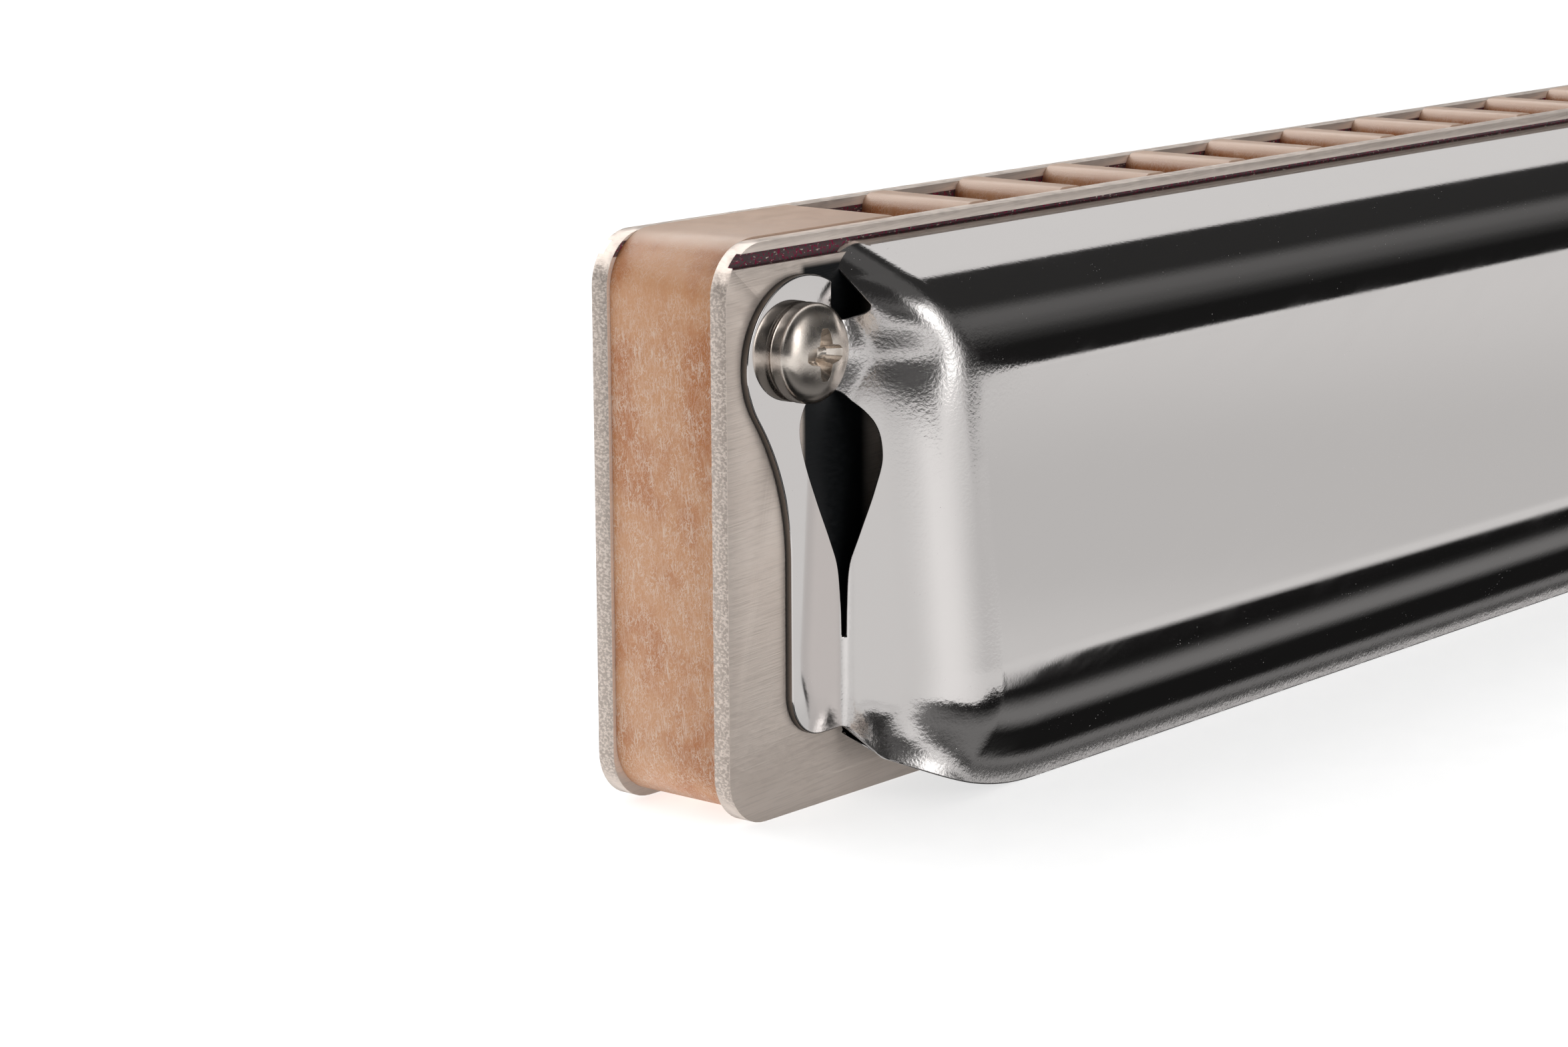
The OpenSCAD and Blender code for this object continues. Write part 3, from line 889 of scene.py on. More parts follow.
@dataclass
class Cover:
    """A folded sheet cover: an open-backed dome with an ear, a vent and a notch at each end.

    Places are given as u, the distance from the plate's end, and z. A dent or strained place is u, z,
    its spread in u and in z, and its depth or share. The wall's lower edge is cut back towards the end,
    and it flares over its last few millimetres. The neck is a height and a spread, where the fold
    round the screw is wide.
    """

    name: str
    node: str
    side: Side
    layout: Layout
    sheet: float = 0.45
    edge_round: float = 0.07
    fold_inset: float = 7.65
    wall_angle: float = 71.0
    wall_round: float = 2.8
    front_round: float = 1.9
    fold_round: float = 0.35
    neck_round: float = 1.5
    wall_cutback: float = 2.5
    cut_run: float = 9.0
    wall_flare: float = 0.75
    flare_run: float = 3.2
    lift_run: float = 7.0
    front_change: tuple[float, float] = (21.0, 24.0)
    ear_front: tuple[float, float] = (23.4, 25.4)
    ear_rear: tuple[float, float] = (2.4, 3.5)
    ear_drop: float = 3.0
    neck: tuple[float, float] = (21.6, 1.5)
    screw_hole: float = 1.15
    ear_radius: float = 4.05
    ear: tuple[float, float] = (5.0, 21.5)
    flange_inset: float = 4.0
    flange_sweep: float = 12.0
    flange_corner: float = 2.1
    flange_rear: float = 3.6
    notch: tuple[float, float] = (7.6, 23.85)
    notch_half: float = 0.65
    vent_ear_side: tuple[tuple[float, float], ...] = (
        (7.6, 8.0), (7.55, 9.6), (7.35, 11.4), (6.8, 12.8), (5.85, 14.8), (5.0, 16.8), (4.65, 18.4),
        (5.2, 19.6), (6.4, 20.0),
    )
    vent_wall_side: tuple[tuple[float, float], ...] = (
        (6.4, 20.0), (7.6, 19.65), (8.25, 18.5), (8.42, 16.9), (8.3, 15.2), (8.05, 13.0), (7.85, 11.2),
        (7.8, 9.6), (7.78, 8.0),
    )
    dents: tuple[tuple[float, float, float, float, float], ...] = ((9.1, 21.4, 1.0, 1.2, 0.3),)
    strains: tuple[tuple[float, float, float, float, float], ...] = (
        (8.6, 21.2, 2.2, 2.6, 1.0), (10.5, 22.0, 2.0, 1.6, 0.5), (9.5, 2.0, 2.4, 2.6, 0.7),
        (12.0, 20.5, 3.5, 1.6, 0.25),
    )
    section: CoverSection = field(init=False)

    def __post_init__(self) -> None:
        """Sets the section from the layout, with the height and the run along the sheet at each z."""
        self.section = CoverSection(self.layout.cover_foot_z, self.layout.cover_rise)
        line = self.section.line()[::-1]
        self._z = self.section.foot_z - line[:, 0]
        self._h = line[:, 1]
        self._run = np.concatenate([[0], np.cumsum(np.hypot(*np.diff(line, axis=0).T))])

    def rear_edge(self, u: np.ndarray) -> np.ndarray:
        """Height of the rear edge at a distance u from the plate's end."""
        inward = np.clip((self.fold_inset + self.cut_run - u) / self.cut_run, 0, 1)
        return self.wall_cutback * inward**2

    def distance(self, u: np.ndarray, z: np.ndarray, h: np.ndarray) -> np.ndarray:
        """Signed distance from the cover's outer surface, positive outside.

        Args:
            u: Distance from the plate's end.
            z: Height above the ground.
            h: Height off the plate.

        Returns:
            Distance in millimetres, exact on flats and close in the bends.
        """
        edge = self.rear_edge(u)
        lift = edge * (1 - smooth(z - edge, 0.0, self.lift_run))
        zz = z - lift
        height = np.interp(zz, self._z, self._h)
        step = 0.05
        slope = (np.interp(zz + step, self._z, self._h) - np.interp(zz - step, self._z, self._h)) / (2 * step)
        from_roof = (h - height) / np.hypot(1, slope)
        flare = self.wall_flare * np.clip(1 - (z - edge) / self.flare_run, 0, 1) ** 2 * smooth(h, 0.3, 2.0)
        inward = u - self.fold_inset + flare
        angle = math.radians(self.wall_angle)
        from_wall = h * math.cos(angle) - inward * math.sin(angle)
        radius = self.wall_round + (self.front_round - self.wall_round) * smooth(z, *self.front_change)
        a, b = np.maximum(radius + from_roof, 0), np.maximum(radius + from_wall, 0)
        dome = np.minimum(-radius, np.maximum(from_roof, from_wall)) + np.hypot(a, b)
        for du, dz, wide, tall, deep in self.dents:
            dome = dome + deep * np.exp(-(((u - du) / wide) ** 2) - ((z - dz) / tall) ** 2)
        # Past the ear's ends the wall runs down to the plate, so the ear's face is let sink there.
        sunk = smooth(z, *self.ear_front) + 1 - smooth(z, *self.ear_rear)
        ear_h = np.where(u < self.fold_inset - 0.6, self.sheet, self.sheet - self.ear_drop * sunk)
        bulge = np.exp(-(((z - self.neck[0]) / self.neck[1]) ** 2))
        fold = self.fold_round + (self.neck_round - self.fold_round) * bulge
        from_ear = h - ear_h
        c, d = np.maximum(fold - dome, 0), np.maximum(fold - from_ear, 0)
        return np.maximum(fold, np.minimum(dome, from_ear)) - np.hypot(c, d)

    def height(self, u: np.ndarray, z: np.ndarray) -> np.ndarray:
        """Finds the outer surface by halving.

        Args:
            u: Distance from the plate's end.
            z: Height above the ground.

        Returns:
            Its height off the plate.
        """
        low, high = np.full(len(u), -1.5), np.full(len(u), 9.0)
        for _ in range(40):
            middle = (low + high) / 2
            inside = self.distance(u, z, middle) < 0
            low, high = np.where(inside, middle, low), np.where(inside, high, middle)
        return (low + high) / 2

    def normal(self, u: np.ndarray, z: np.ndarray, h: np.ndarray) -> np.ndarray:
        """Works out the outer surface's normal from the slope of the distance.

        Args:
            u: Distance from the plate's end.
            z: Height above the ground.
            h: Height off the plate.

        Returns:
            Unit normals in u, h and z.
        """
        e = 0.01
        grad = np.column_stack([
            self.distance(u + e, z, h) - self.distance(u - e, z, h),
            self.distance(u, z, h + e) - self.distance(u, z, h - e),
            self.distance(u, z + e, h) - self.distance(u, z - e, h),
        ])
        return grad / np.linalg.norm(grad, axis=1)[:, None]

    def outline(self, spacing: float, rows: np.ndarray) -> np.ndarray:
        """Outline of half the flat cover in u and z, from the middle of the rear edge round the ear.

        Args:
            spacing: Distance between points at the bent end.
            rows: Heights of points on the middle line.

        Returns:
            A closed loop of points.
        """
        half = self.layout.half_len
        front = self.section.foot_z
        u = np.linspace(self.fold_inset + self.cut_run, self.fold_inset, 40)
        rear = np.vstack([
            respaced(np.array([[half, 0.0], [u[0], 0.0]]), 0.8)[:-1],
            respaced(np.column_stack([u, self.rear_edge(u)]), spacing * 1.5)[:-1],
        ])
        cx, cz = self.ear
        sweep_x = self.flange_inset - self.flange_sweep
        reach = self.ear_radius + self.flange_sweep
        sweep = math.degrees(math.acos((cx - sweep_x) / reach))
        sweep_z = cz - reach * math.sin(math.radians(sweep))
        corner = (self.flange_inset + self.flange_corner, self.flange_rear + self.flange_corner)
        notch_left = self.notch[0] - self.notch_half
        top = math.degrees(math.acos((notch_left - cx) / self.ear_radius))
        ear = np.vstack([
            [[self.fold_inset, self.flange_rear]],
            arc(corner, self.flange_corner, 270, 180),
            arc((sweep_x, sweep_z), self.flange_sweep, 0, sweep),
            arc(self.ear, self.ear_radius, 180 + sweep, top, 60),
            arc(self.notch, self.notch_half, 180, 360),
        ])
        tip = respaced(np.array([[self.fold_inset + 0.13, front], [half, front]]), 0.8)
        middle = np.array([[half, z] for z in rows if 0.1 < z < front - 0.1])
        return np.vstack([rear, respaced(ear, spacing), tip, middle])

    def build(self) -> bpy.types.Object:
        """Builds the cover's mesh with both sides of the sheet and its rounded edges.

        Returns:
            The cover, not yet dressed.
        """
        spacing, clear = 0.16, 0.11
        half = self.layout.half_len
        # Rows and columns are even along the bent sheet, so the mesh is close where it curves.
        rows = self.section.rows(0.2, 0.42)
        outline = self.outline(spacing, rows)
        vent = np.vstack([through(self.vent_ear_side, spacing)[:-1], through(self.vent_wall_side, spacing)])
        screw = self.screw_place()
        hole = arc(screw, self.screw_hole, 0, 360, 48)[:-1]
        loops = [outline, vent, hole]
        bent_from, bent_to, level = self.fold_inset - 0.9, self.fold_inset + 6.0, 14.0
        fine = np.linspace(bent_from, bent_to, 400)
        h = self.height(fine, np.full(len(fine), level))
        run = np.concatenate([[0], np.cumsum(np.hypot(np.diff(fine), np.diff(h)))])
        columns = np.interp(np.arange(0, run[-1], 0.2), run, fine)
        ear_columns = np.arange(1.2, bent_from, 0.5)
        step, growth, widest, wide = 0.35, 1.12, 2.6, [bent_to]
        while wide[-1] + step < half - 0.3:
            wide.append(wide[-1] + step)
            step = min(step * growth, widest)
        columns = np.concatenate([ear_columns, columns, wide[1:]])
        stretch_u = np.concatenate([[0.0], fine, [half]])
        stretch_s = np.concatenate([[0.0], fine[0] + run, [fine[0] + run[-1] + half - fine[-1]]])
        grid = np.array(np.meshgrid(columns, rows)).reshape(2, -1).T
        inside = within(grid, outline) & ~within(grid, vent) & ~within(grid, hole)
        grid = grid[inside]
        flat = [self.stretched(p, stretch_u, stretch_s) for p in (*loops, grid)]
        rim = np.vstack(flat[:3])
        near = np.full(len(grid), np.inf)
        for p in rim:
            near = np.minimum(near, np.hypot(*(flat[3] - p).T))
        keep = near > clear
        points = np.vstack([*loops, grid[keep]])
        placed = np.vstack([*flat[:3], flat[3][keep]])
        edges, start = [], 0
        for loop in loops:
            n = len(loop)
            edges += [(start + i, start + (i + 1) % n) for i in range(n)]
            start += n
        result = geometry.delaunay_2d_cdt([Vector(p) for p in placed], edges, [], 0, 1e-7)
        order = [origin[0] if origin else -1 for origin in result[3]]
        if -1 in order:
            raise RuntimeError("the cover's outline crosses itself")
        faces = np.array([[order[i] for i in f] for f in result[2]])
        middle = placed[faces].mean(axis=1)
        kept = within(middle, flat[0]) & ~within(middle, flat[1]) & ~within(middle, flat[2])
        return self.skin(points, faces[kept])

    def stretched(self, points: np.ndarray, u: np.ndarray, s: np.ndarray) -> np.ndarray:
        """Maps flat points to run along the bent sheet in both directions.

        Args:
            points: Points in u and z.
            u: Distances from the plate's end.
            s: Run along the sheet at each u.

        Returns:
            The points by their run across and along.
        """
        return np.column_stack([np.interp(points[:, 0], u, s), np.interp(points[:, 1], self._z, self._run)])

    def screw_place(self) -> tuple[float, float]:
        """Finds where the cover screw passes.

        Returns:
            Its distance from the plate's end and its height.
        """
        low, high = box_mm("cover_screws")
        nut_low, nut_high = box_mm("cover_nuts")
        return (
            self.layout.half_len - (high[0] - (high[2] - low[2]) / 2),
            float(nut_low[2] + nut_high[2]) / 2,
        )

    def skin(self, flat: np.ndarray, faces: np.ndarray) -> bpy.types.Object:
        """Lifts the flat mesh to both sides of the sheet and rounds its cut edges.

        Args:
            flat: Points in u and z of half the cover.
            faces: Triangles of half the cover.

        Returns:
            The finished piece.
        """
        half = self.layout.half_len
        h = self.height(flat[:, 0], flat[:, 1])
        n = self.normal(flat[:, 0], flat[:, 1], h)
        outer = np.column_stack([half - flat[:, 0], h, flat[:, 1]])
        normal = np.column_stack([-n[:, 0], n[:, 1], n[:, 2]])
        # The other half is the mirror image, joined along the middle.
        middle = outer[:, 0] < 1e-6
        normal[middle, 0] = 0
        twin = np.arange(len(outer))
        twin[~middle] = len(outer) + np.arange((~middle).sum())
        flip = np.array([-1, 1, 1])
        outer = np.vstack([outer, outer[~middle] * flip])
        normal = np.vstack([normal, normal[~middle] * flip])
        faces = np.vstack([faces, twin[faces][:, ::-1]])
        before, shortest = np.roll(faces, 1, axis=1), 0.05
        lengths = np.linalg.norm(outer[faces] - outer[before], axis=2)
        turns = np.arccos(np.clip(np.einsum("ijk,ijk->ij", normal[faces], normal[before]), -1, 1))
        bend = np.zeros(len(outer))
        for ends in (faces, before):
            np.maximum.at(bend, ends, turns / np.maximum(lengths, shortest))
        # The sheet is strained where it is bent, most of all at the necks, the end corners and the lip.
        strain = np.clip(bend * 0.9 - 0.06, 0, 0.45)
        from_end, level = half - np.abs(outer[:, 0]), outer[:, 2]
        for du, dz, wide, tall, much in self.strains:
            strain += much * np.exp(-(((from_end - du) / wide) ** 2) - ((level - dz) / tall) ** 2)
        strain += 0.8 * (1 - smooth(level - self.rear_edge(from_end), 0.2, 1.6))
        strain = np.clip(strain, 0, 1)
        r, loops = self.edge_round, self.rims(faces)
        outs = []
        for loop in loops:
            along = np.roll(outer[loop], -1, axis=0) - np.roll(outer[loop], 1, axis=0)
            out = np.cross(along, normal[loop])
            out /= np.maximum(np.linalg.norm(out, axis=1)[:, None], 1e-9)
            outs.append(out)
        # The inner skin is cut level with the rear edge and the foot, as the sheet's edges are ground.
        slide = self.sheet * normal[:, 2] * (1 - smooth(level - self.rear_edge(from_end), 0.0, 1.6))
        foot, foot_z = math.radians(self.section.front_slope), self.section.foot_z
        slide -= self.sheet * normal[:, 1] / math.tan(foot) * smooth(level, foot_z - 1.2, foot_z)
        inner_h = self.height(from_end, level + slide)
        inner_n = self.normal(from_end, level + slide, inner_h)
        inner_n[:, 0] *= -np.sign(outer[:, 0])
        inner = np.column_stack([outer[:, 0], inner_h, level + slide]) - inner_n * self.sheet
        count = len(outer)
        for loop, out in zip(loops, outs):
            outer[loop] -= out * r
            inner[loop] -= out * r
        points, normals, worked = [outer, inner], [normal, -inner_n], [strain, strain]
        cut, hidden = [np.zeros(2 * count)], [np.repeat((0.0, 1.0), count)]
        skins = [faces, faces[:, ::-1] + count]
        total = 2 * count
        for loop, out in zip(loops, outs):
            rings = [loop]
            for skin, sign, angles in ((outer, 1, (30, 60, 90)), (inner, -1, (90, 60, 30))):
                n = sign * (normal if sign > 0 else inner_n)[loop]
                for angle in angles:
                    t = math.radians(angle)
                    points.append(skin[loop] + out * r * math.sin(t) - n * r * (1 - math.cos(t)))
                    normals.append(out * math.sin(t) + n * math.cos(t))
                    worked.append(strain[loop])
                    cut.append(np.full(len(loop), float(angle == 90)))
                    hidden.append(np.full(len(loop), 0.5 - 0.5 * sign))
                    rings.append(total + np.arange(len(loop)))
                    total += len(loop)
            rings.append(loop + count)
            for low, high in zip(rings, rings[1:]):
                ahead_low, ahead_high = np.roll(low, -1), np.roll(high, -1)
                skins.append(np.column_stack([ahead_low, low, ahead_high]))
                skins.append(np.column_stack([low, high, ahead_high]))
        placed, turned = np.vstack(points), np.vstack(normals)
        way = self.side.value
        placed[:, 1] = way * (self.layout.plate_face + placed[:, 1])
        turned[:, 1] *= way
        piece = mesh_piece(self.name, placed, np.vstack(skins)[:, ::way])
        piece.data.validate()
        for name, values in (("worked", worked), ("cut", cut), ("hidden", hidden)):
            layer = piece.data.attributes.new(name, "FLOAT", "POINT")
            layer.data.foreach_set("value", np.concatenate(values).astype(np.float32))
        piece.data.normals_split_custom_set_from_vertices(turned.tolist())
        return piece

    @staticmethod
    def rims(faces: np.ndarray) -> list[np.ndarray]:
        """Finds the loops of open edges of a skin.

        Args:
            faces: The skin's triangles.

        Returns:
            Point numbers of each loop, in the faces' turning order.
        """
        ahead: dict[int, int] = {}
        used = {(int(f[k]), int(f[(k + 1) % 3])) for f in faces for k in range(3)}
        for a, b in used:
            if (b, a) not in used:
                ahead[a] = b
        loops = []
        while ahead:
            start = min(ahead)
            loop, at = [], start
            while at in ahead:
                loop.append(at)
                at = ahead.pop(at)
            loops.append(np.array(loop))
        return loops

    def place(self, finish: bpy.types.Material) -> bpy.types.Object:
        """Builds and dresses the cover and puts it in place of its CAD node."""
        piece = self.build()
        return settle(piece, finish, Slot.COVER, BODY, self.node)


def settle(
    piece: bpy.types.Object, finish: bpy.types.Material, slot: Slot, body: str, *nodes: str
) -> bpy.types.Object:
    """Gives a piece its finish and body, and reports it.

    Args:
        piece: The finished piece.
        finish: Its material.
        slot: The record's slot that the finish belongs to; not used.
        body: The body that it rides on.
        nodes: CAD nodes that it stands for.

    Returns:
        The same piece.
    """
    if finish.name not in [m.name for m in piece.data.materials if m]:
        piece.data.materials.clear()
        piece.data.materials.append(finish)
    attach(piece, body)
    if nodes:
        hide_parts(*nodes)
    log.info("%s rides on %s, %d faces", piece.name, body, len(piece.data.polygons))
    return piece


# ---------------------------------------------------------------- plates and comb


@dataclass
class PlatesAndComb:
    """The comb and the two reed plates, with the edges that their tools leave."""

    nodes: dict[str, bpy.types.Object]
    layout: Layout
    plate_edge: float = 0.12
    comb_edge: float = 0.16
    pad_edge: float = 0.05

    def place(self, fibre: bpy.types.Material, nickel_silver: bpy.types.Material, alloy: bpy.types.Material) -> None:
        """Builds and dresses the comb, the plates and the reeds' pads.

        Args:
            fibre: The comb's finish.
            nickel_silver: The plates' finish.
            alloy: The pads' finish.
        """
        for node, radius, finish, slot in (
            ("comb", self.comb_edge, fibre, Slot.COMB),
            ("blow_plate", self.plate_edge, nickel_silver, Slot.PLATE),
            ("draw_plate", self.plate_edge, nickel_silver, Slot.PLATE),
            ("blow_reed_pads", self.pad_edge, alloy, Slot.REED),
            ("draw_reed_pads", self.pad_edge, alloy, Slot.REED),
        ):
            piece = softened_copy(self.nodes[node], f"{node}_finished", radius)
            settle(piece, finish, slot, BODY, node)


# ---------------------------------------------------------------- screws, nuts, rivets


class NodeTrees:
    """Geometry Nodes trees for pieces that repeat or follow a rule."""

    @staticmethod
    def inputs(tree: bpy.types.NodeTree, sockets: Sequence[tuple[str, str]]) -> None:
        """Adds named inputs and one geometry output to a tree.

        Args:
            tree: The Geometry Nodes tree.
            sockets: Name and socket type of each input.
        """
        for name, kind in sockets:
            tree.interface.new_socket(name, in_out="INPUT", socket_type=kind)
        tree.interface.new_socket("Geometry", in_out="OUTPUT", socket_type="NodeSocketGeometry")

    @classmethod
    def row(cls) -> bpy.types.NodeTree:
        """Makes a row of equal pieces: Count copies of Shape from Start, each Step further on.

        Returns:
            The tree.
        """
        tree = bpy.data.node_groups.new("row_of_pieces", "GeometryNodeTree")
        cls.inputs(tree, [
            ("Shape", "NodeSocketObject"), ("Count", "NodeSocketInt"), ("Start", "NodeSocketVector"),
            ("Step", "NodeSocketVector"), ("Finish", "NodeSocketMaterial"),
        ])
        given = add_node(tree, "NodeGroupInput").outputs
        line = add_node(tree, "GeometryNodeMeshLine", {"mode": "OFFSET"}, {
            "Count": given["Count"], "Start Location": given["Start"], "Offset": given["Step"],
        })
        shape = add_node(tree, "GeometryNodeObjectInfo", None, {"Object": given["Shape"]})
        copies = add_node(tree, "GeometryNodeInstanceOnPoints", None, {
            "Points": line, "Instance": shape.outputs["Geometry"],
        })
        return cls.dressed(tree, copies, given["Finish"])

    @staticmethod
    def dressed(
        tree: bpy.types.NodeTree, shape: bpy.types.Node, finish: bpy.types.NodeSocket
    ) -> bpy.types.NodeTree:
        """Ends a tree: its instances are made real and get their finish.

        Args:
            tree: The tree.
            shape: The node whose geometry the tree gives.
            finish: The tree's material input.

        Returns:
            The tree.
        """
        real = add_node(tree, "GeometryNodeRealizeInstances", None, {0: shape})
        finished = add_node(tree, "GeometryNodeSetMaterial", None, {"Geometry": real, "Material": finish})
        add_node(tree, "NodeGroupOutput", None, {0: finished})
        return tree

    @classmethod
    def tongue(cls) -> bpy.types.NodeTree:
        """Makes a reed tongue: a strip of Width, Thickness and Length, filed thinner away from its root.

        Returns:
            The tree.
        """
        tree = bpy.data.node_groups.new("reed_tongue", "GeometryNodeTree")
        cls.inputs(tree, [
            ("Middle", "NodeSocketVector"), ("Width", "NodeSocketFloat"), ("Thickness", "NodeSocketFloat"),
            ("Length", "NodeSocketFloat"), ("Root side", "NodeSocketFloat"), ("Filed", "NodeSocketFloat"),
            ("Finish", "NodeSocketMaterial"),
        ])
        given = add_node(tree, "NodeGroupInput").outputs
        size = add_node(tree, "ShaderNodeCombineXYZ", None, {
            0: given["Width"], 1: given["Thickness"], 2: given["Length"],
        })
        block = add_node(tree, "GeometryNodeMeshCube", None, {
            "Size": size, "Vertices X": 5, "Vertices Y": 2, "Vertices Z": 25,
        })
        position = add_node(tree, "GeometryNodeInputPosition")
        spot = add_node(tree, "ShaderNodeSeparateXYZ", None, {0: position}).outputs
        # The way along the strip goes from -0.5 at the root to 0.5 at the tip.
        along = add_node(tree, MATH, {"operation": "DIVIDE"}, {0: spot[2], 1: given["Length"]})
        signed = add_node(tree, MATH, PRODUCT, {0: along, 1: given["Root side"]})
        share = add_node(tree, MAP, EASED, {0: signed, 1: -0.45, 2: 0.35})
        cut = add_node(tree, MATH, PRODUCT, {0: share, 1: given["Filed"]})
        left = add_node(tree, MATH, {"operation": "SUBTRACT"}, {0: 1.0, 1: cut})
        thin = add_node(tree, MATH, PRODUCT, {0: spot[1], 1: left})
        place = add_node(tree, "ShaderNodeCombineXYZ", None, {0: spot[0], 1: thin, 2: spot[2]})
        moved = add_node(tree, "GeometryNodeSetPosition", None, {
            "Geometry": block, "Position": place, "Offset": given["Middle"],
        })
        return cls.dressed(tree, moved, given["Finish"])


@dataclass
class PanScrew:
    """A pan-head screw with a tapered cross recess, on an axis through the origin."""

    head_radius: float
    head_height: float
    rim: float
    shank_radius: float
    shank_length: float
    arm: float
    arm_half: float
    recess: float
    foot_half: float

    def head_profile(self) -> list[tuple[float, float]]:
        """Draws the screw's outline.

        Returns:
            Radius and height pairs from the shank's end to the top of the head.
        """
        ease = 0.06 * self.head_radius
        dome = self.head_height - self.rim
        profile = [
            (0.0, -self.shank_length), (self.shank_radius * 0.8, -self.shank_length),
            (self.shank_radius, -self.shank_length + self.shank_radius * 0.25), (self.shank_radius, -0.02),
            (self.shank_radius, 0.0), (self.head_radius - 2 * ease, 0.0), (self.head_radius - ease, ease * 0.2),
            (self.head_radius - ease * 0.2, ease), (self.head_radius, ease * 2),
        ]
        for step in range(19):
            t = math.radians(90 * step / 18)
            profile.append((self.head_radius * math.cos(t) ** 0.84, self.rim + dome * math.sin(t) ** 0.92))
        return profile[:-1] + [(0.0, self.head_height)]

    def cutter(self, name: str, side: Side) -> bpy.types.Object:
        """Makes the tapered cross that cuts the recess, with rounded inner corners.

        Args:
            name: The cutter's name.
            side: The side that the head faces.

        Returns:
            The cutter.
        """
        rings = []
        for depth, arm, half in (
            (-0.4, self.arm * 1.12, self.arm_half * 1.15), (0.0, self.arm, self.arm_half),
            (self.recess * 0.75, self.arm * 0.62, self.arm_half * 0.72),
            (self.recess, self.foot_half, self.foot_half * 0.6),
        ):
            ring = []
            for quarter in range(4):
                turn = math.radians(90 * quarter)
                inner = half * 1.45
                for x, y in (
                    (inner, -half * 1.0), (arm * 0.8, -half * 0.82), (arm, -half * 0.45), (arm, half * 0.45),
                    (arm * 0.8, half * 0.82), (inner, half * 1.0), (half * 1.08, half * 1.08),
                ):
                    ring.append((
                        x * math.cos(turn) - y * math.sin(turn), side.value * (self.head_height - depth),
                        x * math.sin(turn) + y * math.cos(turn),
                    ))
            rings.append(np.array(ring))
        points, faces = ring_stack(rings)
        return outward(mesh_piece(name, points, faces, False))

    def make(self, name: str, side: Side) -> bpy.types.Object:
        """Makes the screw with its head's underside at the origin.

        Args:
            name: The screw's name.
            side: The side that the head faces.

        Returns:
            The screw.
        """
        screw = lathe(name, self.head_profile(), side, 72)
        cutter = self.cutter(f"{name}_recess", side)
        cut = screw.modifiers.new("recess", "BOOLEAN")
        cut.operation, cut.solver, cut.object = "DIFFERENCE", "EXACT", cutter
        baked(screw)
        bpy.data.objects.remove(cutter)
        return rounded(outward(screw), self.head_radius * 0.018, 2, 42)


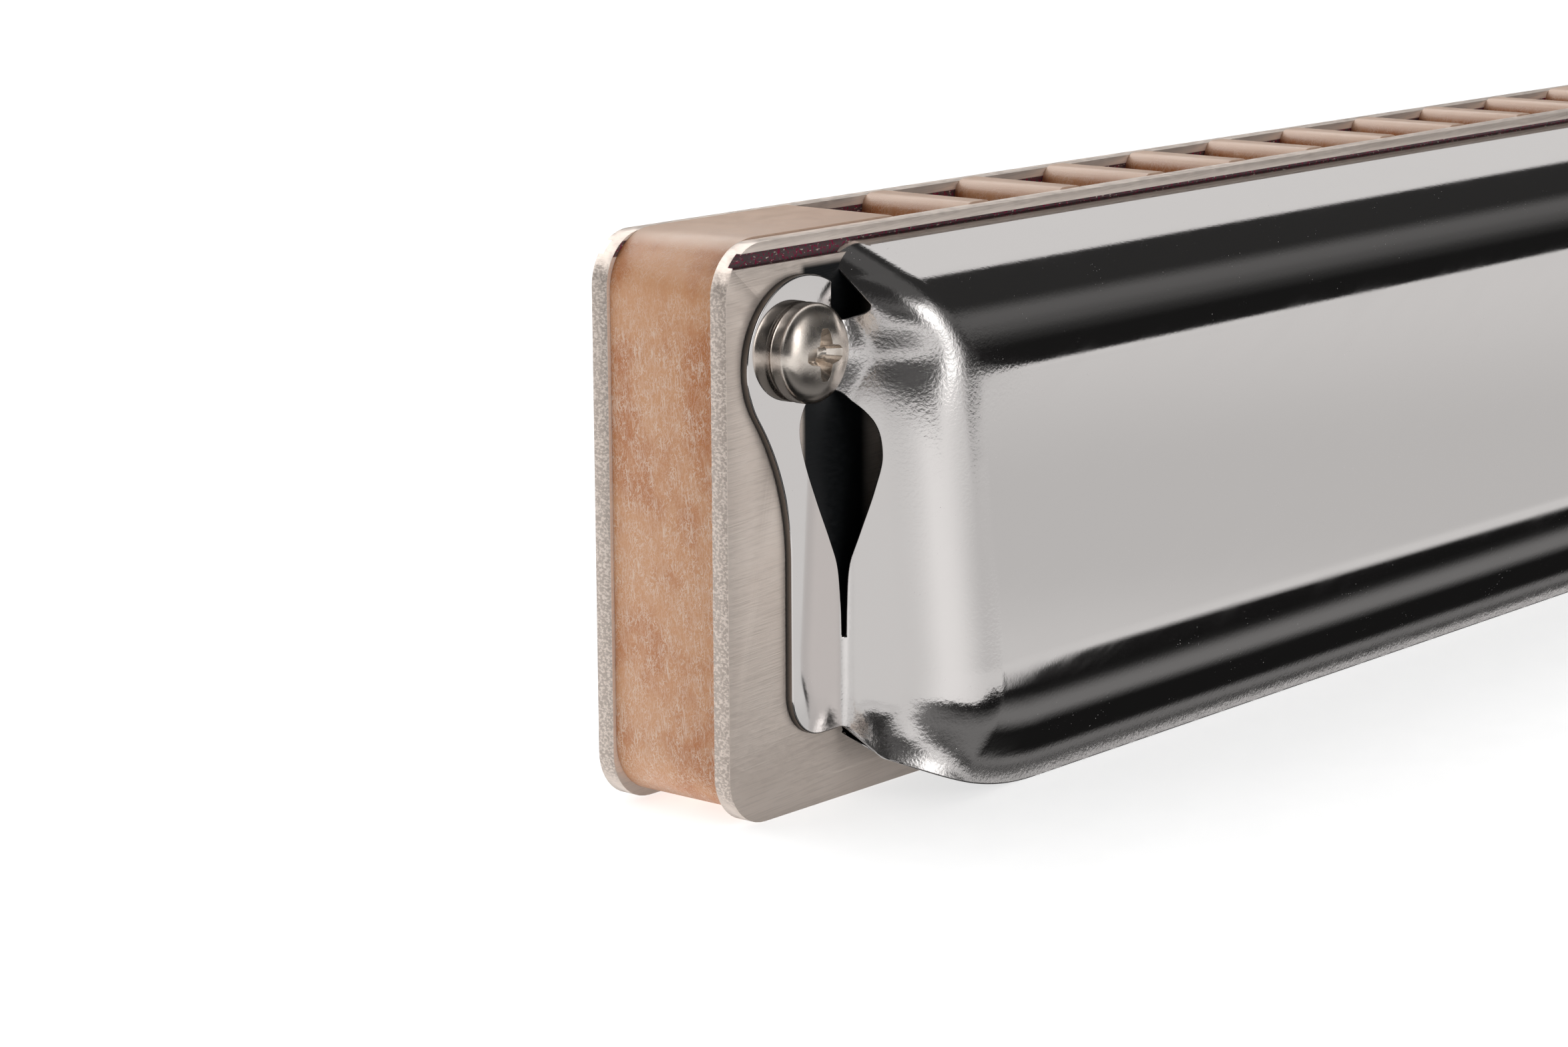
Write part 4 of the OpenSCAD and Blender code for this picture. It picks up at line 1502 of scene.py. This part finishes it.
@dataclass
class Fasteners:
    """Cover screws and their nuts, the small plate screws, and the reeds' rivets."""

    layout: Layout
    row: bpy.types.NodeTree
    cover_head: float = 2.35
    plate_head: float = 0.95
    rivet_head: float = 0.95
    rivet_rise: float = 0.35
    nut_hole: float = 1.02
    nut_chamfer: float = 0.16

    def row_of(
        self, name: str, shape: bpy.types.Object, count: int, start: Sequence[float], step: Sequence[float],
        finish: bpy.types.Material,
    ) -> bpy.types.Object:
        """Grows a row of copies of a shape.

        Args:
            name: The row's name.
            shape: The shape to repeat.
            count: How many copies.
            start: Place of the first, in millimetres.
            step: Step from one to the next, in millimetres.
            finish: Their material.

        Returns:
            The row as one piece.
        """
        return grow(name, self.row, {
            "Shape": shape, "Count": count, "Start": [v * MM for v in start], "Step": [v * MM for v in step],
            "Finish": finish,
        })

    def cover_screws(self, nickel: bpy.types.Material) -> None:
        """Places the two cover screws, whose heads sit on the blow side's ears.

        Args:
            nickel: Their finish.
        """
        low, high = box_mm("cover_screws")
        nut_low, nut_high = box_mm("cover_nuts")
        z = (nut_low[2] + nut_high[2]) / 2
        x = high[0] - self.cover_head
        head_height = 1.6
        seat = low[1] + head_height
        shape = PanScrew(
            head_radius=self.cover_head, head_height=head_height, rim=0.72, shank_radius=1.0,
            shank_length=float(high[1] - seat), arm=1.3, arm_half=0.43, recess=0.95, foot_half=0.5,
        ).make("cover_screw", Side.BLOW)
        piece = self.row_of("cover_screw_pair", shape, 2, (x, seat, z), (-2 * x, 0, 0), nickel)
        bpy.data.objects.remove(shape)
        settle(piece, nickel, Slot.FASTENER, BODY, "cover_screws")

    def nuts(self, nickel: bpy.types.Material) -> None:
        """Places the two hexagon nuts on the draw side's ears, with corners along X.

        Args:
            nickel: Their finish.
        """
        low, high = box_mm("cover_nuts")
        thick = float(high[1] - low[1])
        flat = (high[2] - low[2]) / 2
        turn = np.arange(96) * TURN / 96
        hexagon = flat / np.cos(turn % (math.pi / 3) - math.pi / 6)

        def ring(radius: Any, height: Any) -> np.ndarray:
            """Points round the axis at a radius and a height, each one number or one for each point."""
            return np.column_stack([
                radius * np.cos(turn), np.broadcast_to(height, turn.shape), radius * np.sin(turn)
            ])

        drop = (hexagon - flat) * math.tan(math.radians(30))
        rings = [
            ring(flat, 0.0), ring(hexagon, drop), ring(hexagon, thick - drop), ring(flat, thick),
            ring(self.nut_hole + self.nut_chamfer, thick), ring(self.nut_hole, thick - self.nut_chamfer),
            ring(self.nut_hole, self.nut_chamfer), ring(self.nut_hole + self.nut_chamfer, 0.0),
        ]
        points, faces = ring_stack(rings, closed=True)
        shape = rounded(outward(mesh_piece("nut", points, faces)), 0.03, 2, 25)
        x = box_mm("cover_screws")[1][0] - self.cover_head
        z = (low[2] + high[2]) / 2
        piece = self.row_of("cover_nut_pair", shape, 2, (x, low[1], z), (-2 * x, 0, 0), nickel)
        bpy.data.objects.remove(shape)
        settle(piece, nickel, Slot.FASTENER, BODY, "cover_nuts")

    def plate_screws(self, node: str, side: Side, nickel: bpy.types.Material) -> None:
        """Places a plate's front and rear rows of small screws.

        Args:
            node: The CAD node with the screws.
            side: The plate's side.
            nickel: Their finish.
        """
        low, high = box_mm(node)
        head_height = 0.45
        shank = float(high[1] - low[1]) - head_height
        shape = PanScrew(
            head_radius=self.plate_head, head_height=head_height, rim=0.16, shank_radius=0.5,
            shank_length=shank, arm=0.52, arm_half=0.15, recess=0.3, foot_half=0.16,
        ).make("plate_screw", side)
        seat = low[1] + head_height if side is Side.BLOW else high[1] - head_height
        rear_z, front_z = low[2] + self.plate_head, high[2] - self.plate_head
        x = high[0] - self.plate_head
        pitch = x / 4
        rows = [
            self.row_of("rear_row", shape, 5, (x, seat, rear_z), (-2 * pitch, 0, 0), nickel),
            self.row_of("front_row", shape, 3, (3 * pitch, seat, front_z), (-3 * pitch, 0, 0), nickel),
        ]
        with bpy.context.temp_override(
            active_object=rows[0], selected_editable_objects=rows, selected_objects=rows
        ):
            bpy.ops.object.join()
        rows[0].name = rows[0].data.name = f"{node}_finished"
        bpy.data.objects.remove(shape)
        settle(rows[0], nickel, Slot.FASTENER, BODY, node)

    def rivets(self, node: str, finish: bpy.types.Material) -> None:
        """Places a plate's ten rivets, in a slanted row where the slots grow.

        Args:
            node: The CAD node with the rivets.
            finish: Their finish.
        """
        low, high = box_mm(node)
        shank = float(high[1] - low[1]) - self.rivet_rise
        r, rise = self.rivet_head, self.rivet_rise
        profile = [(0.0, -shank), (0.5, -shank), (0.6, -shank + 0.08), (0.6, 0.0), (r - 0.1, 0.0), (r, 0.06)]
        profile += [(r * math.cos(t), 0.06 + (rise - 0.06) * math.sin(t)) for t in np.radians(np.arange(15, 90, 15))]
        # Both plates' reeds sit on the plates' +Y faces, and so do the rivets' heads.
        shape = lathe("rivet", profile + [(0.0, rise)], Side.DRAW, 32)
        outer = high[1] - rise
        slant = max(0.0, float(high[2] - low[2]) - 2 * r)
        x = high[0] - r
        piece = self.row_of(
            f"{node}_finished", shape, 10, (x, outer, low[2] + r), (-2 * x / 9, 0, slant / 9), finish
        )
        bpy.data.objects.remove(shape)
        settle(piece, finish, Slot.RIVET, BODY, node)


@dataclass
class Reeds:
    """The twenty swinging tongues, each on its own body."""

    tree: bpy.types.NodeTree
    count: int = 10
    most_filed: float = 0.45

    def place(self, finish: bpy.types.Material) -> None:
        """Builds every tongue from its CAD node's box and puts it on its body.

        Args:
            finish: The tongues' finish.
        """
        for side in Side:
            for number in range(1, self.count + 1):
                node = f"{side.name.lower()}_reed_{number}"
                low, high = box_mm(node)
                middle, size = (low + high) / 2, high - low
                filed = self.most_filed * number / self.count
                piece = grow(f"{node}_tongue", self.tree, {
                    "Middle": [v * MM for v in middle], "Width": size[0] * MM, "Thickness": size[1] * MM,
                    "Length": size[2] * MM, "Root side": 1.0 if side is Side.BLOW else -1.0,
                    "Filed": filed, "Finish": finish,
                })
                outward(piece)
                settle(rounded(piece, 0.02, 1), finish, Slot.REED, node, node)


# ---------------------------------------------------------------- studio


@dataclass
class Studio:
    """A pale floor, a soft room with dark flags for the mirror surfaces, and the camera."""

    floor_radius: float = 3.0
    camera_place: tuple[float, float, float] = (-182.25, -120.09, 51.12)
    bearing: float = 49.613
    dip: float = 11.719
    roll: float = 0.337
    lens: float = 90.472

    def floor(self) -> None:
        """Makes the floor just under the object."""
        turn = np.arange(96) * TURN / 96
        gap = 0.01
        points = np.column_stack([np.cos(turn), np.sin(turn), np.zeros(96)]) * self.floor_radius / MM
        points[:, 2] = -gap
        piece = mesh_piece("floor", points, [tuple(range(96))], False)
        piece.data.materials.append(BackdropPaper().make())
        # Mirrors see the room's dark flags below them and not the floor.
        piece.visible_glossy = False

    def room(self) -> None:
        """Lights the room evenly, with dark flags to the right and below and a soft box in front.

        Each region is a mask over the direction of a ray, by its parts or by its tilt in degrees over
        the floor as seen from the side.
        """
        world = bpy.data.worlds.new("soft_studio")
        bpy.context.scene.world = world
        world.use_nodes = True
        tree = world.node_tree
        tree.nodes.clear()
        ray = add_node(tree, "ShaderNodeTexCoord").outputs["Generated"]
        x, y, z = add_node(tree, "ShaderNodeSeparateXYZ", None, {0: ray}).outputs
        off_x, off_y = (add_node(tree, MATH, SIZE_ONLY, {0: value}) for value in (x, y))
        angle = add_node(tree, MATH, {"operation": "ARCTAN2"}, {0: z, 1: off_y})
        tilt = add_node(tree, MATH, {"operation": "DEGREES"}, {0: angle})
        # The wall is a little dimmer just under the horizon and brighter straight ahead.
        dip = mask(tree, ((z, -0.06, -0.1), (z, -0.15, -0.12)))
        wall = add_node(tree, MIX, COLOURS, {0: dip, 6: grey(0.78), 7: grey(0.65)})
        ahead = mask(tree, ((x, -1.0, -0.5), (x, 0.4, -0.45), (y, 0.2, -0.2)))
        # Upper flag: dark from just above the horizon, with a dim streak at 30 degrees.
        upper_flag = mask(tree, ((off_x, 0.22, 0.42), (tilt, -4.5, -2.5)))
        upper = add_node(tree, MIX, COLOURS, {
            0: add_node(tree, MAP, EASED, {0: tilt, 1: 30.0, 2: 50.0}), 6: grey(0.012), 7: grey(0.03),
        })
        streak = mask(tree, ((tilt, 9.0, 30.0), (tilt, 50.0, 32.0)))
        upper = add_node(tree, MIX, COLOURS, {0: streak, 6: upper, 7: grey(0.13)})
        # Lower flag: dark under an edge that rises to the right, in front and towards the right.
        right_edge = add_node(tree, MAP, EASED, {0: x, 1: 0.745, 2: 0.79, 3: -0.37, 4: -0.165})
        left_edge = add_node(tree, MAP, EASED, {0: x, 1: -0.4, 2: 0.55, 3: -0.47, 4: -0.247})
        edge = add_node(tree, MATH, {"operation": "MAXIMUM"}, {0: right_edge, 1: left_edge})
        under = add_node(tree, MATH, {"operation": "SUBTRACT"}, {0: edge, 1: z})
        to_right = add_node(tree, MAP, EASED, {0: x, 1: 0.3, 2: 0.6})
        in_front = add_node(tree, MAP, EASED, {0: y, 1: 0.25, 2: 0.05})
        placed = add_node(tree, MATH, {"operation": "MAXIMUM"}, {0: to_right, 1: in_front})
        lower_flag = add_node(tree, MATH, PRODUCT, {0: mask(tree, ((under, 0.0, 0.03),)), 1: placed})
        band = mask(tree, ((tilt, -26.0, -46.0), (tilt, -66.0, -50.0)))
        lower = add_node(tree, MIX, COLOURS, {0: band, 6: grey(0.01), 7: grey(0.2)})
        # Each layer covers those before it: the bright wall ahead, the dark ceiling, a tall soft box in
        # front, the upper flag, a skylight and a large soft box behind, the lower flag, and white for
        # what the camera sees directly.
        light = wall
        for share, level in (
            (ahead, grey(1.0)),
            (mask(tree, ((z, 0.61, 0.77),)), grey(0.1)),
            (mask(tree, ((x, -0.26, -0.16), (x, 0.16, 0.06), (z, -0.03, 0.08), (z, 0.62, 0.48))), grey(2.4)),
            (upper_flag, upper),
            (mask(tree, ((y, 0.04, 0.1), (tilt, 62.0, 68.0))), grey(0.8)),
            (mask(tree, ((y, 0.2, 0.4), (z, 0.35, 0.5))), grey(1.8)),
            (lower_flag, lower),
            (add_node(tree, "ShaderNodeLightPath").outputs["Is Camera Ray"], grey(1.0)),
        ):
            light = add_node(tree, MIX, COLOURS, {0: share, 6: light, 7: level})
        shade = add_node(tree, "ShaderNodeBackground", None, {"Color": light, "Strength": 1.0})
        add_node(tree, "ShaderNodeOutputWorld", None, {"Surface": shade})

    def camera(self) -> None:
        """Makes the camera, which looks at the left end from the front left."""
        data = bpy.data.cameras.new("camera")
        data.sensor_fit, data.sensor_width, data.lens = "HORIZONTAL", 36.0, self.lens
        data.clip_start, data.clip_end = 0.01, 20.0
        camera = bpy.data.objects.new("camera", data)
        bpy.context.scene.collection.objects.link(camera)
        bearing, dip, roll = (math.radians(a) for a in (self.bearing, self.dip, self.roll))
        ahead = Vector((
            math.sin(bearing) * math.cos(dip), math.cos(bearing) * math.cos(dip), -math.sin(dip)
        ))
        right = ahead.cross(Vector((0, 0, 1))).normalized()
        down = ahead.cross(right)
        right, down = (
            math.cos(roll) * right + math.sin(roll) * down, math.cos(roll) * down - math.sin(roll) * right,
        )
        turned = Matrix((right, -down, -ahead)).transposed()
        camera.matrix_world = Matrix.Translation(Vector(self.camera_place) * MM) @ turned.to_4x4()
        bpy.context.scene.camera = camera

    def build(self) -> None:
        """Builds the floor, the room light and the camera."""
        self.floor()
        self.room()
        self.camera()
        bpy.context.scene.view_settings.view_transform = "Standard"
        log.info("studio built")


def main() -> None:
    logging.basicConfig(level=logging.INFO, format="%(message)s")
    for item in list(bpy.data.objects):
        bpy.data.objects.remove(item)
    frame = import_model()
    layout = Layout.read()
    Studio().build()
    fibre = PressedFibre().make(layout.mouth_z)
    nickel_silver = LappedNickelSilver().make(layout.groove, layout.plate_face, layout.half_len)
    sheet = PolishedSteelSheet().make()
    nickel = NickelPlate().make()
    alloy = RolledAlloy("rolled_reed_alloy", "CFCBC2", "A69C8C").make()
    brass = RolledAlloy("drawn_brass_wire", "D8B46A", "A9803F").make()
    PlatesAndComb(frame["nodes"], layout).place(fibre, nickel_silver, alloy)
    for name, node, side in (
        ("blow_cover", "upper_cover", Side.BLOW), ("draw_cover", "lower_cover", Side.DRAW),
    ):
        Cover(name, node, side, layout).place(sheet)
    fasteners = Fasteners(layout, NodeTrees.row())
    fasteners.cover_screws(nickel)
    fasteners.nuts(nickel)
    for side in Side:
        word = side.name.lower()
        fasteners.plate_screws(f"{word}_plate_screws", side, nickel)
        fasteners.rivets(f"{word}_rivets", brass)
    Reeds(NodeTrees.tongue()).place(alloy)


if __name__ == "__main__":
    main()
